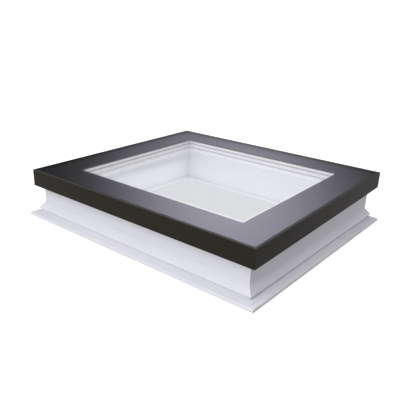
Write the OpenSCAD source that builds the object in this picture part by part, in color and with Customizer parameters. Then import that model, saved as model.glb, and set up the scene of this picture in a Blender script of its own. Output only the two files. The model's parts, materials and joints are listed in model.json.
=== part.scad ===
// Opening flat-glass roof skylight: a welded PVC kerb that stands on a flat roof, and a
// sash with a triple glass unit under aluminium cladding, hinged along its high side and
// driven by a chain actuator in the well. Millimetres, +Z up, the origin in the middle of
// the kerb's underside. Front, -Y, is the low side.

/* [Overall size] */
// Width of the sash over its cladding, along X
sash_w = 1000; // [760:10:1500]
// Depth of the sash over its cladding, along Y
sash_d = 900; // [620:10:1500]
// Height of the glass above the roof, along its low edge
rise = 182; // [165:1:260]
// Slope of the glass towards its low edge, in degrees
fall = 1.5; // [0.5:0.1:3]

/* [Kerb] */
// Set-back of the neck behind the cladding
neck_in = 28.3; // [26:0.1:36]
// Width of the neck, from its outer to its inner face
neck_w = 71.7; // [55:0.1:95]
// Height at which the neck starts to splay
splay_top = 54.5; // [45:0.5:75]
// Height of the nose below the splay
nose_h = 27; // [23:0.5:40]
// Set-back of the nose behind the cladding
nose_in = 7.5; // [5:0.1:16]
// Undercut below the nose
nose_undercut = 2; // [1:0.1:4]
// Height of the foot where it meets the nose
foot_h = 18.6; // [14:0.1:22]
// How far the foot reaches past the cladding
foot_out = 16; // [12:0.5:30]
// Flat part of the foot's top, past the cladding
foot_flat = 1.5; // [0:0.1:8]
// Thickness of the foot's rim
foot_rim = 2.4; // [1.5:0.1:4]
// Width of the fixing flange inside the well
flange_w = 22; // [18:0.5:40]
// Thickness of the fixing flange
flange_t = 8; // [5:0.5:14]
// Diameter of the fixing holes
fixing_d = 6.5; // [4.5:0.1:9]
// Distance of each fixing hole from the corner where two lines of holes meet
fixing_end = 100; // [60:1:200]
// Wall of the kerb's profile
kerb_wall = 3; // [2.2:0.1:4]
// Web between the chambers of the kerb's profile
kerb_web = 2.5; // [1.5:0.1:4]
// Height of the kerb's inner step below its outer step
kerb_step = 14; // [10:0.5:20]

/* [Glass] */
// Thickness of the outer pane
outer_pane_t = 6; // [5:0.5:10]
// Thickness of the middle pane
middle_pane_t = 4; // [3:0.5:6]
// Thickness of the inner pane
inner_pane_t = 6; // [4:0.5:10]
// Width of each gas space
gas_space = 14; // [8:0.5:18]
// How far the black printed border reaches past the spacer bars
border_cover = 9; // [4:0.5:60]
// Thickness of the printed border
border_t = 0.2; // [0.1:0.05:0.4]
// Thickness of the bond between glass and cladding
bond_t = 2.8; // [2:0.1:5]
// Width of the glass unit's edge seal
edge_seal_w = 6; // [4:0.5:10]
// Width of the spacer bars
spacer_w = 8; // [6:0.5:10]

/* [Sash] */
// Wall of the sash's profile
sash_wall = 3; // [2.2:0.1:4]
// Set-back of the sash's profile behind the cladding
sash_in = 30; // [27:0.5:40]
// Gap round the inner panes
glazing_gap = 4; // [3:0.5:6]
// Gap between the sash and the kerb's outer step
sash_gap = 2; // [1:0.5:4]
// Width of the ledge that carries the inner pane
ledge_w = 14; // [12:0.5:20]
// Depth of the nose below the ledge
ledge_h = 16; // [12:0.5:24]
// Thickness of the gasket under the inner pane
pane_gasket_t = 2; // [1:0.1:4]
// Height of the seal between kerb and sash
kerb_seal_h = 6; // [4:0.5:10]

/* [Cladding] */
// Height of the cladding's skirt
skirt_h = 64; // [58:0.5:80]
// Thickness of the cladding
clad_t = 2; // [1.5:0.1:3]
// Width of the lip round the glass
lip_w = 6; // [5:0.5:10]
// Radius of the lip's outer edge
lip_r = 4; // [2:0.5:5]
// Width of the seam between lip and glass
seam_w = 3; // [2:0.5:5]
// Width of the hem along the skirt's lower edge
hem_w = 6; // [4:0.5:8]
// Reach of the shelf that carries the glass
shelf_w = 44; // [40:1:60]

/* [Hinges] */
// Distance of each hinge from the middle of the sash
hinge_x = 300; // [160:5:500]
// Diameter of the hinge pin
hinge_pin_d = 5; // [4:0.5:6]
// Wall of the hinge knuckles round the pin
knuckle_wall = 4; // [3:0.25:4.5]
// Drop of the hinge axis below the top of the kerb
hinge_drop = 10; // [9:0.5:13]
// Thickness of the hinge leaves
leaf_t = 3; // [2:0.5:4]

/* [Actuator] */
// Length of the actuator's housing
housing_l = 420; // [360:5:560]
// Width of the actuator's housing
housing_w = 36; // [32:1:44]
// Height of the actuator's housing
housing_h = 42; // [40:1:54]
// Wall of the actuator's housing
housing_wall = 2.5; // [2:0.1:4]
// Gap between the housing and the kerb
housing_gap = 6; // [5.5:0.5:10]
// Width of the push chain
chain_w = 12; // [10:0.5:14]
// Thickness of the push chain
chain_t = 8; // [6:0.5:10]
// Pitch radius of the chain's sprocket
sprocket_r = 12; // [11:0.5:14]
// Number of teeth on the sprocket
sprocket_teeth = 8; // [6:1:12]

/* [Hidden] */
$fn = 48;

// Clearances
run_gap = 0.05;
fill_gap = 0.3;
cut_over = 1;
step_gap = 4;
nose_gap = 3.5;
glazed_gap = 4;
beyond = 4 * (sash_w + sash_d);
kerb_draw_top = beyond / 8;

// Depths below the top of the glass
border_d = outer_pane_t + border_t;
shelf_d = border_d + bond_t;
sash_top_d = shelf_d + clad_t;
middle_pane_d = outer_pane_t + gas_space;
inner_gap_d = middle_pane_d + middle_pane_t;
inner_pane_d = inner_gap_d + gas_space;
unit_d = inner_pane_d + inner_pane_t;
ledge_d = unit_d + pane_gasket_t;
nose_d = ledge_d + ledge_h;
kerb_above_ledge = 4;
kerb_top_d = ledge_d - kerb_above_ledge;
outer_sole_d = kerb_top_d - sash_gap;
kerb_step_d = kerb_top_d + kerb_step;
inner_sole_d = kerb_step_d - kerb_seal_h;

// Insets from the cladding's outer face
well_in = neck_in + neck_w;
flange_in = well_in + flange_w;
step_in = neck_in + (neck_w - step_gap) / 2;
sole_in = step_in + step_gap;
glazed_in = well_in + glazed_gap;
nose_clear_in = well_in + nose_gap;
ledge_in = glazed_in + ledge_w;
pane_in = lip_w + seam_w;
unit_in = glazed_in + glazing_gap;
spacer_in = unit_in + edge_seal_w;
spacer_end_in = spacer_in + spacer_w;
border_in = spacer_end_in + border_cover;

// Chambers of the kerb's profile
chamber_floor = nose_h + kerb_wall;
outer_web_in = neck_in + 2 * kerb_wall + kerb_web;

// The foot's top falls a little from the nose to its shoulder, a quarter of a superellipse
foot_fall = 2.2;
foot_steps = 7;
foot_power = 1.4;
foot_rx = foot_out - foot_flat;
foot_ry = foot_h - foot_fall - foot_rim;

// The hollow in the foot, as shares of the shoulder's reach and of the foot's height
foot_hollow_out = 0.5;
foot_hollow_mid = 0.35;
foot_hollow_h = 0.48;

// Screws
screw_d = 4;
screw_head_d = 7.6;
screw_head_h = 2;
hinge_screw_l = 16;
bracket_screw_l = 12;
cladding_screw_l = 18;

// Hinges
knuckle_r = hinge_pin_d / 2 + knuckle_wall;
knuckle_l = 29;
knuckle_gap = 0.3;
kerb_knuckle_l = 20;
kerb_leaf_l = 120;
kerb_leaf_h = 17;
kerb_leaf_screw_x = 47;
sash_leaf_l = 90;
sash_leaf_screw_x = 35;
pin_head_h = 2;
pin_head_in = 2;
pin_head_r = knuckle_r - pin_head_in;
leaf_gap = 0.8;
hinge_axis_in = neck_in - 2 * leaf_t - leaf_gap - knuckle_r;
hinge_axis_depth = kerb_top_d + hinge_drop;
axis_s = sash_d - hinge_axis_in;
axis_y = -sash_d / 2 + axis_s * cos(fall) + hinge_axis_depth * sin(fall);
axis_z = rise + axis_s * sin(fall) - hinge_axis_depth * cos(fall);
neck_back_y = sash_d / 2 - neck_in;

// Actuator: the chain rises from the middle of the housing to a bracket below the sash
chain_in = well_in + housing_gap + housing_w / 2;
bracket_plate_t = 3;
bracket_l = 70;
bracket_screw_x = 26;
ear_t = 3;
ear_drop = 9;
ear_gap = 0.5;
ear_r = 6;
bracket_pin_d = 6;
pin_d = nose_d + bracket_plate_t + ear_drop;
pin_y = -sash_d / 2 + chain_in * cos(fall) + pin_d * sin(fall);
pin_z = rise + chain_in * sin(fall) - pin_d * cos(fall);
chain_drop = 16;
housing_top = pin_z - chain_drop;
housing_floor = housing_top - housing_h;
housing_mid = housing_top - housing_h / 2;
chain_slot_gap = 4;
tooth_w = 4;
tooth_slot = 5;
tooth_tip = 2;
shaft_d = 8;
cheek_t = 4;
cheek_gap = 1.5;
drive_end = 4;
sprocket_rise = 2;
drive_l = 2 * (sprocket_r + chain_t / 2 + drive_end);
sprocket_z = housing_mid + sprocket_rise;
cap_t = 4;
cap_plug = 8;
angle_l = 44;
angle_t = 3;
angle_screw_x = 12;
gearbox_gap = 1;
motor_step = 2;
gearbox_d = housing_w - 2 * housing_wall - gearbox_gap;
motor_d = gearbox_d - motor_step;
motor_l = 95;
gearbox_l = 52;
gland_r = 7;
gland_l = 14;
gland_bore_r = 3.2;
gland_neck_in = 2;

pvc_white = [0.86, 0.86, 0.89];
clad_brown = [0.17, 0.16, 0.15];
seal_black = [0.06, 0.06, 0.07];
foam_grey = [0.75, 0.76, 0.74];
zinc_grey = [0.66, 0.67, 0.69];
glass_tint = [0.80, 0.88, 0.90, 0.3];
nylon_black = [0.2, 0.2, 0.21];
motor_grey = [0.35, 0.35, 0.37];

// ---------- Frames of reference and shapes that repeat ----------

// Children are drawn with z = 0 on top of the glass, and tilt with it
module on_sash() {
    translate([0, -sash_d / 2, rise])
        rotate([fall, 0, 0])
            translate([0, sash_d / 2, 0])
                children();
}

function side_len(turn) = turn % 2 == 0 ? sash_w : sash_d;
function side_set(turn) = turn % 2 == 0 ? sash_d : sash_w;

// A bar along X with mitred ends. Its profile has points [inset, height], and lies between
// two insets.
module mitred_bar(profile, side, near, far) {
    intersection() {
        translate([-side / 2 + near, 0, 0])
            rotate([90, 0, 90])
                linear_extrude(side - 2 * near)
                    polygon(profile);
        translate([0, 0, -beyond / 2])
            linear_extrude(beyond)
                polygon([
                    [-side / 2 + near, near], [side / 2 - near, near],
                    [side / 2 - far, far], [-side / 2 + far, far]
                ]);
    }
}

// One side of the frame: 0 is the front, 1 the right, 2 the back, 3 the left
module frame_side(turn, profile, near, far) {
    rotate([0, 0, 90 * turn])
        translate([0, -side_set(turn) / 2, 0])
            mitred_bar(profile, side_len(turn), near, far);
}

module frame_ring(profile, near, far) {
    for (turn = [0:3])
        frame_side(turn, profile, near, far);
}

// A plate over the whole frame, between two depths below the children's z = 0
module slab(inset, top, bottom) {
    translate([-sash_w / 2 + inset, -sash_d / 2 + inset, -bottom])
        cube([sash_w - 2 * inset, sash_d - 2 * inset, bottom - top]);
}

// A rectangular ring between two insets and two depths
module slab_ring(near, far, top, bottom) {
    difference() {
        slab(near, top, bottom);
        slab(far, top - cut_over, bottom + cut_over);
    }
}

// All that lies deeper than a depth below the glass
module below_glass(depth) {
    on_sash()
        translate([-beyond / 2, -beyond / 2, -depth - beyond])
            cube(beyond);
}

// A countersunk screw along -Z with its head's top at z = 0
module screw(length, grow = 0) {
    translate([0, 0, -length])
        cylinder(h = length - screw_head_h / 2, d = screw_d + 2 * grow);
    translate([0, 0, -screw_head_h])
        cylinder(h = screw_head_h, d1 = screw_d + 2 * grow, d2 = screw_head_d + 2 * grow);
}

module bore_x(length, diameter) {
    translate([-length / 2, 0, 0])
        rotate([0, 90, 0])
            cylinder(h = length, d = diameter);
}

module bore_y(length, diameter) {
    translate([0, length / 2, 0])
        rotate([90, 0, 0])
            cylinder(h = length, d = diameter);
}

// ---------- Kerb ----------

// The foot's rounded shoulder, from its flat top out to its rim
foot_shoulder = [
    for (i = [0:foot_steps])
        let (a = 90 * (1 - i / foot_steps))
            [
                -foot_flat - foot_rx * pow(cos(a), 2 / foot_power),
                foot_rim + foot_ry * pow(sin(a), 2 / foot_power)
            ]
];

kerb_outline = concat(
    [[neck_in, kerb_draw_top], [neck_in, splay_top], [nose_in, nose_h],
     [nose_in + nose_undercut, foot_h]],
    foot_shoulder,
    [[-foot_out, 0], [flange_in, 0], [flange_in, flange_t], [well_in, flange_t],
     [well_in, kerb_draw_top]]
);

// The hollow behind the splay and inside the foot
foot_chamber = [
    [neck_in + kerb_wall + 1, splay_top - kerb_wall],
    [nose_in + nose_undercut + kerb_wall, nose_h - kerb_wall + 1],
    [nose_in + nose_undercut + kerb_wall + 1, foot_h - kerb_wall - 1],
    [-foot_flat, foot_h - foot_fall - kerb_wall],
    [-foot_flat - foot_rx * foot_hollow_mid, foot_h * foot_hollow_h],
    [-foot_flat - foot_rx * foot_hollow_out, kerb_wall],
    [outer_web_in - kerb_web, kerb_wall],
    [outer_web_in - kerb_web, splay_top - kerb_wall]
];

module kerb_chamber(near, far, top_d, gap = 0) {
    intersection() {
        difference() {
            translate([0, 0, kerb_draw_top])
                slab(near + gap, 0, kerb_draw_top - chamber_floor - gap);
            translate([0, 0, kerb_draw_top])
                slab(far - gap, -cut_over, kerb_draw_top + cut_over);
        }
        below_glass(top_d + kerb_wall + gap);
    }
}

module kerb_chambers(gap = 0) {
    kerb_chamber(neck_in + kerb_wall, step_in - kerb_web / 2, kerb_top_d, gap);
    kerb_chamber(step_in + kerb_web, well_in - kerb_wall, kerb_step_d, gap);
}

module fixing_holes() {
    hole_in = well_in + flange_w / 2;
    side_x = sash_w / 2 - hole_in;
    side_y = sash_d / 2 - hole_in;
    end_x = side_x - fixing_end;
    end_y = side_y - fixing_end;
    for (sx = [-1, 1])
        for (sy = [-1, 1]) {
            translate([sx * side_x, sy * end_y, -cut_over])
                cylinder(h = flange_t + 2 * cut_over, d = fixing_d);
            translate([sx * end_x, sy * side_y, -cut_over])
                cylinder(h = flange_t + 2 * cut_over, d = fixing_d);
        }
}

module kerb_frame() {
    color(pvc_white)
        difference() {
            intersection() {
                frame_ring(kerb_outline, -foot_out, flange_in);
                below_glass(kerb_top_d);
            }
            on_sash()
                slab(step_in, -cut_over, kerb_step_d);
            kerb_chambers();
            frame_ring(foot_chamber, -foot_out, outer_web_in);
            translate([0, 0, nose_h])
                slab_ring(outer_web_in, well_in - kerb_wall, 0, nose_h - kerb_wall);
            fixing_holes();
            kerb_hinge_screw_set();
            actuator_wall_screws();
        }
}

module kerb_insulation() {
    color(foam_grey)
        difference() {
            kerb_chambers(fill_gap);
            kerb_hinge_screw_set(fill_gap);
            actuator_wall_screws(fill_gap);
        }
}

module kerb_seal() {
    seal_w = 16;
    seal_side = 2;
    seal_skin = 1.5;
    seal_mid = (sole_in + well_in) / 2;
    color(seal_black)
        on_sash()
            difference() {
                slab_ring(seal_mid - seal_w / 2, seal_mid + seal_w / 2, inner_sole_d, kerb_step_d);
                slab_ring(seal_mid - seal_w / 2 + seal_side, seal_mid + seal_w / 2 - seal_side,
                          inner_sole_d + seal_skin, kerb_step_d - seal_skin);
            }
}

// ---------- Hinges ----------

module at_hinge(side) {
    translate([side * hinge_x, axis_y, axis_z])
        children();
}

// Screws through the kerb's leaves into the neck
module kerb_hinge_screw_set(grow = 0) {
    leaf_y = neck_back_y + leaf_t;
    for (side = [-1, 1])
        for (sx = [-1, 1])
            translate([side * hinge_x + sx * kerb_leaf_screw_x, leaf_y, axis_z])
                rotate([-90, 0, 0])
                    screw(hinge_screw_l, grow);
}

module kerb_hinge_leaf(side) {
    web_h = 5;
    web_l = kerb_knuckle_l - knuckle_gap;
    knuckle_x = (knuckle_l + kerb_knuckle_l) / 2;
    color(zinc_grey)
        difference() {
            union() {
                // Set out from the kerb's back face, so that the two meet exactly
                translate([side * hinge_x - kerb_leaf_l / 2, neck_back_y, axis_z - kerb_leaf_h / 2])
                    cube([kerb_leaf_l, leaf_t, kerb_leaf_h]);
                for (sx = [-1, 1]) {
                    at_hinge(side)
                        translate([sx * knuckle_x, 0, 0])
                            bore_x(web_l, 2 * knuckle_r);
                    translate([side * hinge_x + sx * knuckle_x - web_l / 2, neck_back_y + leaf_t / 2,
                               axis_z - knuckle_r])
                        cube([web_l, axis_y - neck_back_y - leaf_t / 2, web_h]);
                }
            }
            at_hinge(side)
                bore_x(kerb_leaf_l, hinge_pin_d + 2 * run_gap);
            kerb_hinge_screw_set();
        }
}

module hinge_pin(side) {
    pin_l = knuckle_l + 2 * kerb_knuckle_l;
    color(zinc_grey)
        at_hinge(side) {
            bore_x(pin_l, hinge_pin_d);
            translate([pin_l / 2 + pin_head_h / 2, 0, 0])
                bore_x(pin_head_h, 2 * pin_head_r);
        }
}

// Screws through the sash's leaves into the sash's outer face
module sash_hinge_screw_set(grow = 0) {
    screw_d_below = (sash_top_d + outer_sole_d) / 2;
    for (side = [-1, 1])
        for (sx = [-1, 1])
            on_sash()
                translate([side * hinge_x + sx * sash_leaf_screw_x,
                           sash_d / 2 - sash_in + leaf_t, -screw_d_below])
                    rotate([-90, 0, 0])
                        screw(hinge_screw_l, grow);
}

// A flat leaf on the sash, and an arm that steps out past the kerb's leaf to the knuckle
module sash_hinge_leaf(side) {
    arm_in = hinge_axis_in + knuckle_r + leaf_t;
    plate_out = sash_in - leaf_t;
    leaf_inset = 1;
    step_h = 1.5;
    arm_t = 4;
    arm_root = 8;
    top = sash_top_d + leaf_inset;
    sole = outer_sole_d - leaf_inset;
    color(zinc_grey)
        difference() {
            on_sash()
                translate([side * hinge_x, sash_d / 2, 0])
                    difference() {
                        union() {
                            translate([-sash_leaf_l / 2, -sash_in, -sole])
                                cube([sash_leaf_l, leaf_t, sole - top]);
                            translate([-knuckle_l / 2 + knuckle_gap, 0, 0])
                                rotate([90, 0, 90])
                                    linear_extrude(knuckle_l - 2 * knuckle_gap)
                                        polygon([
                                            [-plate_out, -sole + arm_root],
                                            [-plate_out, -sole + leaf_inset],
                                            [-arm_in, -sole - step_h],
                                            [-arm_in, -hinge_axis_depth],
                                            [-hinge_axis_in, -hinge_axis_depth],
                                            [-hinge_axis_in, -hinge_axis_depth + knuckle_r],
                                            [-arm_in + leaf_t, -hinge_axis_depth + knuckle_r],
                                            [-arm_in + leaf_t, -sole + arm_t]
                                        ]);
                            translate([0, -hinge_axis_in, -hinge_axis_depth])
                                bore_x(knuckle_l - 2 * knuckle_gap, 2 * knuckle_r);
                        }
                        translate([0, -hinge_axis_in, -hinge_axis_depth])
                            bore_x(sash_leaf_l, hinge_pin_d + 2 * run_gap);
                    }
            sash_hinge_screw_set();
        }
}

// ---------- Sash ----------

sash_outline = [
    [sash_in, -sash_top_d], [glazed_in, -sash_top_d], [glazed_in, -ledge_d],
    [ledge_in, -ledge_d], [ledge_in, -nose_d], [nose_clear_in, -nose_d],
    [nose_clear_in, -inner_sole_d], [sole_in, -inner_sole_d], [sole_in, -outer_sole_d],
    [sash_in, -outer_sole_d]
];

module sash_chambers(gap = 0) {
    top = sash_top_d + sash_wall + gap;
    slab_ring(sash_in + sash_wall + gap, sole_in - sash_wall / 2 - gap, top,
              outer_sole_d - sash_wall - gap);
    slab_ring(sole_in + sash_wall + gap, glazed_in - sash_wall - gap, top,
              inner_sole_d - sash_wall - gap);
}

module sash_frame() {
    color(pvc_white)
        difference() {
            on_sash()
                difference() {
                    frame_ring(sash_outline, sash_in, ledge_in);
                    sash_chambers();
                    cladding_screw_set();
                }
            sash_hinge_screw_set();
            chain_bracket_screw_set();
        }
}

module sash_insulation() {
    color(foam_grey)
        difference() {
            on_sash()
                difference() {
                    sash_chambers(fill_gap);
                    cladding_screw_set(fill_gap);
                }
            sash_hinge_screw_set(fill_gap);
        }
}

// ---------- Glass unit ----------

module outer_pane() {
    color(glass_tint)
        on_sash()
            slab(pane_in, 0, outer_pane_t);
}

module printed_border() {
    color(seal_black)
        on_sash()
            slab_ring(pane_in, border_in, outer_pane_t, border_d);
}

module outer_spacer() {
    color(zinc_grey)
        on_sash()
            slab_ring(spacer_in, spacer_end_in, border_d, middle_pane_d);
}

module middle_pane() {
    color(glass_tint)
        on_sash()
            slab(unit_in, middle_pane_d, inner_gap_d);
}

module inner_spacer() {
    color(zinc_grey)
        on_sash()
            slab_ring(spacer_in, spacer_end_in, inner_gap_d, inner_pane_d);
}

module inner_pane() {
    color(glass_tint)
        on_sash()
            slab(unit_in, inner_pane_d, unit_d);
}

module edge_sealant() {
    color(seal_black)
        on_sash() {
            slab_ring(unit_in, spacer_in, border_d, middle_pane_d);
            slab_ring(unit_in, spacer_in, inner_gap_d, inner_pane_d);
        }
}

module glass_bond() {
    bond_near = 5;
    bond_far = 8;
    color(seal_black)
        on_sash()
            slab_ring(pane_in + bond_near, shelf_w - bond_far, border_d, shelf_d);
}

module pane_gasket() {
    gasket_inset = 1;
    color(seal_black)
        on_sash()
            slab_ring(unit_in + gasket_inset, ledge_in - gasket_inset, unit_d, ledge_d);
}

// Two blocks under the low edge of the glass unit
module setting_blocks() {
    block_l = 80;
    color(seal_black)
        on_sash()
            for (side = [-1, 1])
                translate([side * sash_w / 4 - block_l / 2, -sash_d / 2 + glazed_in, -unit_d])
                    cube([block_l, glazing_gap, inner_pane_t]);
}

// The black seam between the lip and the glass, a little below both
module seam_gasket() {
    seam_drop = 1;
    color(seal_black)
        on_sash()
            slab_ring(lip_w, pane_in, seam_drop, shelf_d);
}

// ---------- Cladding ----------

lip_steps = 6;
lip_round = [
    for (i = [0:lip_steps])
        let (a = 90 * i / lip_steps)
            [lip_r - lip_r * cos(a), -lip_r + lip_r * sin(a)]
];
cladding_outline = concat(
    [[hem_w + clad_t, -skirt_h], [0, -skirt_h]],
    lip_round,
    [[lip_w, 0], [lip_w, -shelf_d], [shelf_w, -shelf_d], [shelf_w, -sash_top_d],
     [clad_t, -sash_top_d], [clad_t, -skirt_h + clad_t], [hem_w + clad_t, -skirt_h + clad_t]]
);

cladding_screw_end = 6;
cladding_screw_in = shelf_w - cladding_screw_end;

module cladding_screw_set(grow = 0) {
    per_side = 4;
    end_in = 2 * cladding_screw_in;
    for (turn = [0:3])
        rotate([0, 0, 90 * turn])
            for (i = [0:per_side - 1]) {
                run = side_len(turn) - 2 * end_in;
                translate([(i / (per_side - 1) - 0.5) * run,
                           -side_set(turn) / 2 + cladding_screw_in, -shelf_d])
                    screw(cladding_screw_l, grow);
            }
}

module cladding_side(turn) {
    color(clad_brown)
        on_sash()
            difference() {
                frame_side(turn, cladding_outline, 0, shelf_w);
                cladding_screw_set();
            }
}

// An angle behind each mitre of the skirt
module cladding_corner_keys() {
    key_l = 34;
    key_t = 2;
    key_top = sash_top_d + hem_w;
    key_bottom = skirt_h - hem_w - clad_t;
    color(zinc_grey)
        on_sash()
            for (sx = [-1, 1])
                for (sy = [-1, 1])
                    at_corner(sx, sy)
                        difference() {
                            translate([clad_t, clad_t, -key_bottom])
                                cube([key_l, key_l, key_bottom - key_top]);
                            translate([clad_t + key_t, clad_t + key_t, -key_bottom - cut_over])
                                cube([key_l, key_l, key_bottom]);
                        }
}

// Children drawn in the corner x, y >= 0 go to one of the four corners
module at_corner(sx, sy) {
    translate([sx * sash_w / 2, sy * sash_d / 2, 0])
        mirror([sx > 0 ? 1 : 0, 0, 0])
            mirror([0, sy > 0 ? 1 : 0, 0])
                children();
}

// ---------- Actuator ----------

module at_chain() {
    translate([0, pin_y, 0])
        children();
}

module housing_shell(grow, length) {
    translate([-length / 2, -housing_w / 2 - grow, housing_floor - grow])
        cube([length, housing_w + 2 * grow, housing_h + 2 * grow]);
}

module housing_screws(grow = 0) {
    for (side = [-1, 1])
        at_chain()
            translate([side * (housing_l / 2 - angle_l / 2), 0, housing_floor - angle_t])
                mirror([0, 0, 1])
                    screw(angle_t + housing_wall, grow);
}

module actuator_housing() {
    slot_x = chain_t + 2 * chain_slot_gap;
    slot_y = chain_w + 2 * chain_slot_gap;
    color(zinc_grey)
        difference() {
            at_chain()
                difference() {
                    housing_shell(0, housing_l);
                    housing_shell(-housing_wall, housing_l + 2 * cut_over);
                    translate([-slot_x / 2, -slot_y / 2, housing_top - housing_wall - cut_over])
                        cube([slot_x, slot_y, housing_wall + 2 * cut_over]);
                }
            housing_screws();
        }
}

module actuator_cap(side) {
    plug_gap = 0.2;
    color(nylon_black)
        difference() {
            at_chain()
                translate([side * housing_l / 2, 0, 0])
                    mirror([side < 0 ? 1 : 0, 0, 0]) {
                        translate([0, -housing_w / 2, housing_floor])
                            cube([cap_t, housing_w, housing_h]);
                        translate([-cap_plug, -housing_w / 2 + housing_wall + plug_gap,
                                   housing_floor + housing_wall + plug_gap])
                            cube([cap_plug, housing_w - 2 * (housing_wall + plug_gap),
                                  housing_h - 2 * (housing_wall + plug_gap)]);
                    }
            if (side < 0)
                gland_bore(2 * (gland_r - gland_neck_in));
        }
}

module gland_bore(diameter) {
    at_chain()
        translate([-housing_l / 2, 0, housing_mid])
            bore_x(4 * cap_plug, diameter);
}

module cable_gland() {
    nut_r = gland_r + 1.5;
    nut_l = 3;
    color(nylon_black)
        difference() {
            at_chain()
                translate([-housing_l / 2 - cap_t, 0, housing_mid]) {
                    translate([-nut_l, 0, 0])
                        rotate([0, 90, 0])
                            cylinder(h = nut_l, r = nut_r, $fn = 6);
                    translate([-gland_l, 0, 0])
                        rotate([0, 90, 0])
                            cylinder(h = gland_l, r1 = gland_r - gland_neck_in, r2 = gland_r);
                    rotate([0, 90, 0])
                        cylinder(h = cap_t + cap_plug, r = gland_r - gland_neck_in - run_gap);
                }
            at_chain()
                translate([-housing_l / 2 - cap_t, 0, housing_mid])
                    bore_x(4 * gland_l, 2 * gland_bore_r);
        }
}

// Screws through the brackets' backs into the kerb
module actuator_wall_screws(grow = 0) {
    wall_y = -sash_d / 2 + well_in;
    for (side = [-1, 1])
        for (sx = [-1, 1])
            translate([side * (housing_l / 2 - angle_l / 2) + sx * angle_screw_x,
                       wall_y + angle_t, housing_mid])
                rotate([-90, 0, 0])
                    screw(hinge_screw_l, grow);
}

module actuator_bracket(side) {
    wall_y = -sash_d / 2 + well_in;
    foot_short = 4;
    back_drop = 6;
    foot_y = pin_y + housing_w / 2 - foot_short;
    color(zinc_grey)
        difference() {
            translate([side * (housing_l / 2 - angle_l / 2) - angle_l / 2, wall_y,
                       housing_floor - angle_t]) {
                cube([angle_l, angle_t, housing_h + angle_t - back_drop]);
                cube([angle_l, foot_y - wall_y, angle_t]);
            }
            actuator_wall_screws();
            housing_screws();
        }
}

module actuator_screws() {
    color(zinc_grey) {
        actuator_wall_screws(-run_gap);
        housing_screws(-run_gap);
    }
}

// The sealed motor and its gearbox
module gear_motor() {
    color(motor_grey)
        at_chain()
            translate([sprocket_r - drive_l / 2, 0, housing_mid])
                rotate([0, -90, 0]) {
                    cylinder(h = gearbox_l, d = gearbox_d);
                    translate([0, 0, gearbox_l])
                        cylinder(h = motor_l, d = motor_d);
                }
}

// Two cheeks that carry the sprocket's shaft, on a base
module drive_frame() {
    cheek_in = chain_w / 2 + cheek_gap;
    base_z = housing_floor + housing_wall;
    frame_h = sprocket_z + shaft_d - base_z;
    base_t = 3;
    color(zinc_grey)
        at_chain()
            translate([sprocket_r, 0, 0])
                difference() {
                    union() {
                        for (sy = [-1, 1])
                            translate([-drive_l / 2, sy * (cheek_in + cheek_t / 2) - cheek_t / 2, base_z])
                                cube([drive_l, cheek_t, frame_h]);
                        translate([-drive_l / 2, -cheek_in, base_z])
                            cube([drive_l, 2 * cheek_in, base_t]);
                    }
                    translate([0, 0, sprocket_z])
                        bore_y(2 * housing_w, shaft_d + 2 * run_gap);
                }
}

module chain_sprocket() {
    root_r = sprocket_r - chain_t / 2 - fill_gap;
    shaft_l = chain_w + 2 * (cheek_gap + cheek_t);
    bore_d = 3;
    tooth_root = 2.4;
    tooth_end = 0.9;
    color(zinc_grey)
        at_chain()
            translate([sprocket_r, 0, sprocket_z])
                difference() {
                    union() {
                        bore_y(shaft_l, shaft_d);
                        bore_y(tooth_w, 2 * root_r);
                        for (i = [0:sprocket_teeth - 1])
                            rotate([0, 360 * i / sprocket_teeth, 0])
                                translate([0, tooth_w / 2, 0])
                                    rotate([90, 0, 0])
                                        linear_extrude(tooth_w)
                                            polygon([
                                                [root_r - 1, -tooth_root],
                                                [sprocket_r + tooth_tip, -tooth_end],
                                                [sprocket_r + tooth_tip, tooth_end],
                                                [root_r - 1, tooth_root]
                                            ]);
                    }
                    bore_y(2 * shaft_l, bore_d);
                }
}

// The chain's centre line: up from the sprocket to its end, and back along the housing
module chain_path(half) {
    stored_end = 6;
    stored_l = housing_l / 2 - cap_plug - sprocket_r - stored_end;
    translate([-half, 0])
        square([2 * half, pin_z - sprocket_z]);
    intersection() {
        translate([sprocket_r, 0])
            difference() {
                circle(r = sprocket_r + half);
                circle(r = sprocket_r - half);
            }
        translate([-half, -sprocket_r - half])
            square([sprocket_r + half, sprocket_r + half]);
    }
    translate([sprocket_r, -sprocket_r - half])
        square([stored_l, 2 * half]);
}

module push_chain() {
    slot_l = 4 * sprocket_r;
    end_wall = 2;
    color(zinc_grey)
        at_chain()
            difference() {
                union() {
                    translate([0, chain_w / 2, sprocket_z])
                        rotate([90, 0, 0])
                            linear_extrude(chain_w)
                                chain_path(chain_t / 2);
                    translate([0, 0, pin_z])
                        bore_x(chain_w, bracket_pin_d + 2 * end_wall);
                }
                translate([-chain_t, -tooth_slot / 2, sprocket_z - 2 * sprocket_r])
                    cube([slot_l, tooth_slot, 3 * sprocket_r + tooth_tip]);
                translate([0, 0, pin_z])
                    bore_x(4 * chain_w, bracket_pin_d + 2 * run_gap);
            }
}

// ---------- Chain bracket on the sash ----------

module chain_bracket_screw_set(grow = 0) {
    on_sash()
        for (side = [-1, 1])
            translate([side * bracket_screw_x, -sash_d / 2 + (nose_clear_in + ledge_in) / 2,
                       -nose_d - bracket_plate_t])
                mirror([0, 0, 1])
                    screw(bracket_screw_l, grow);
}

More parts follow.
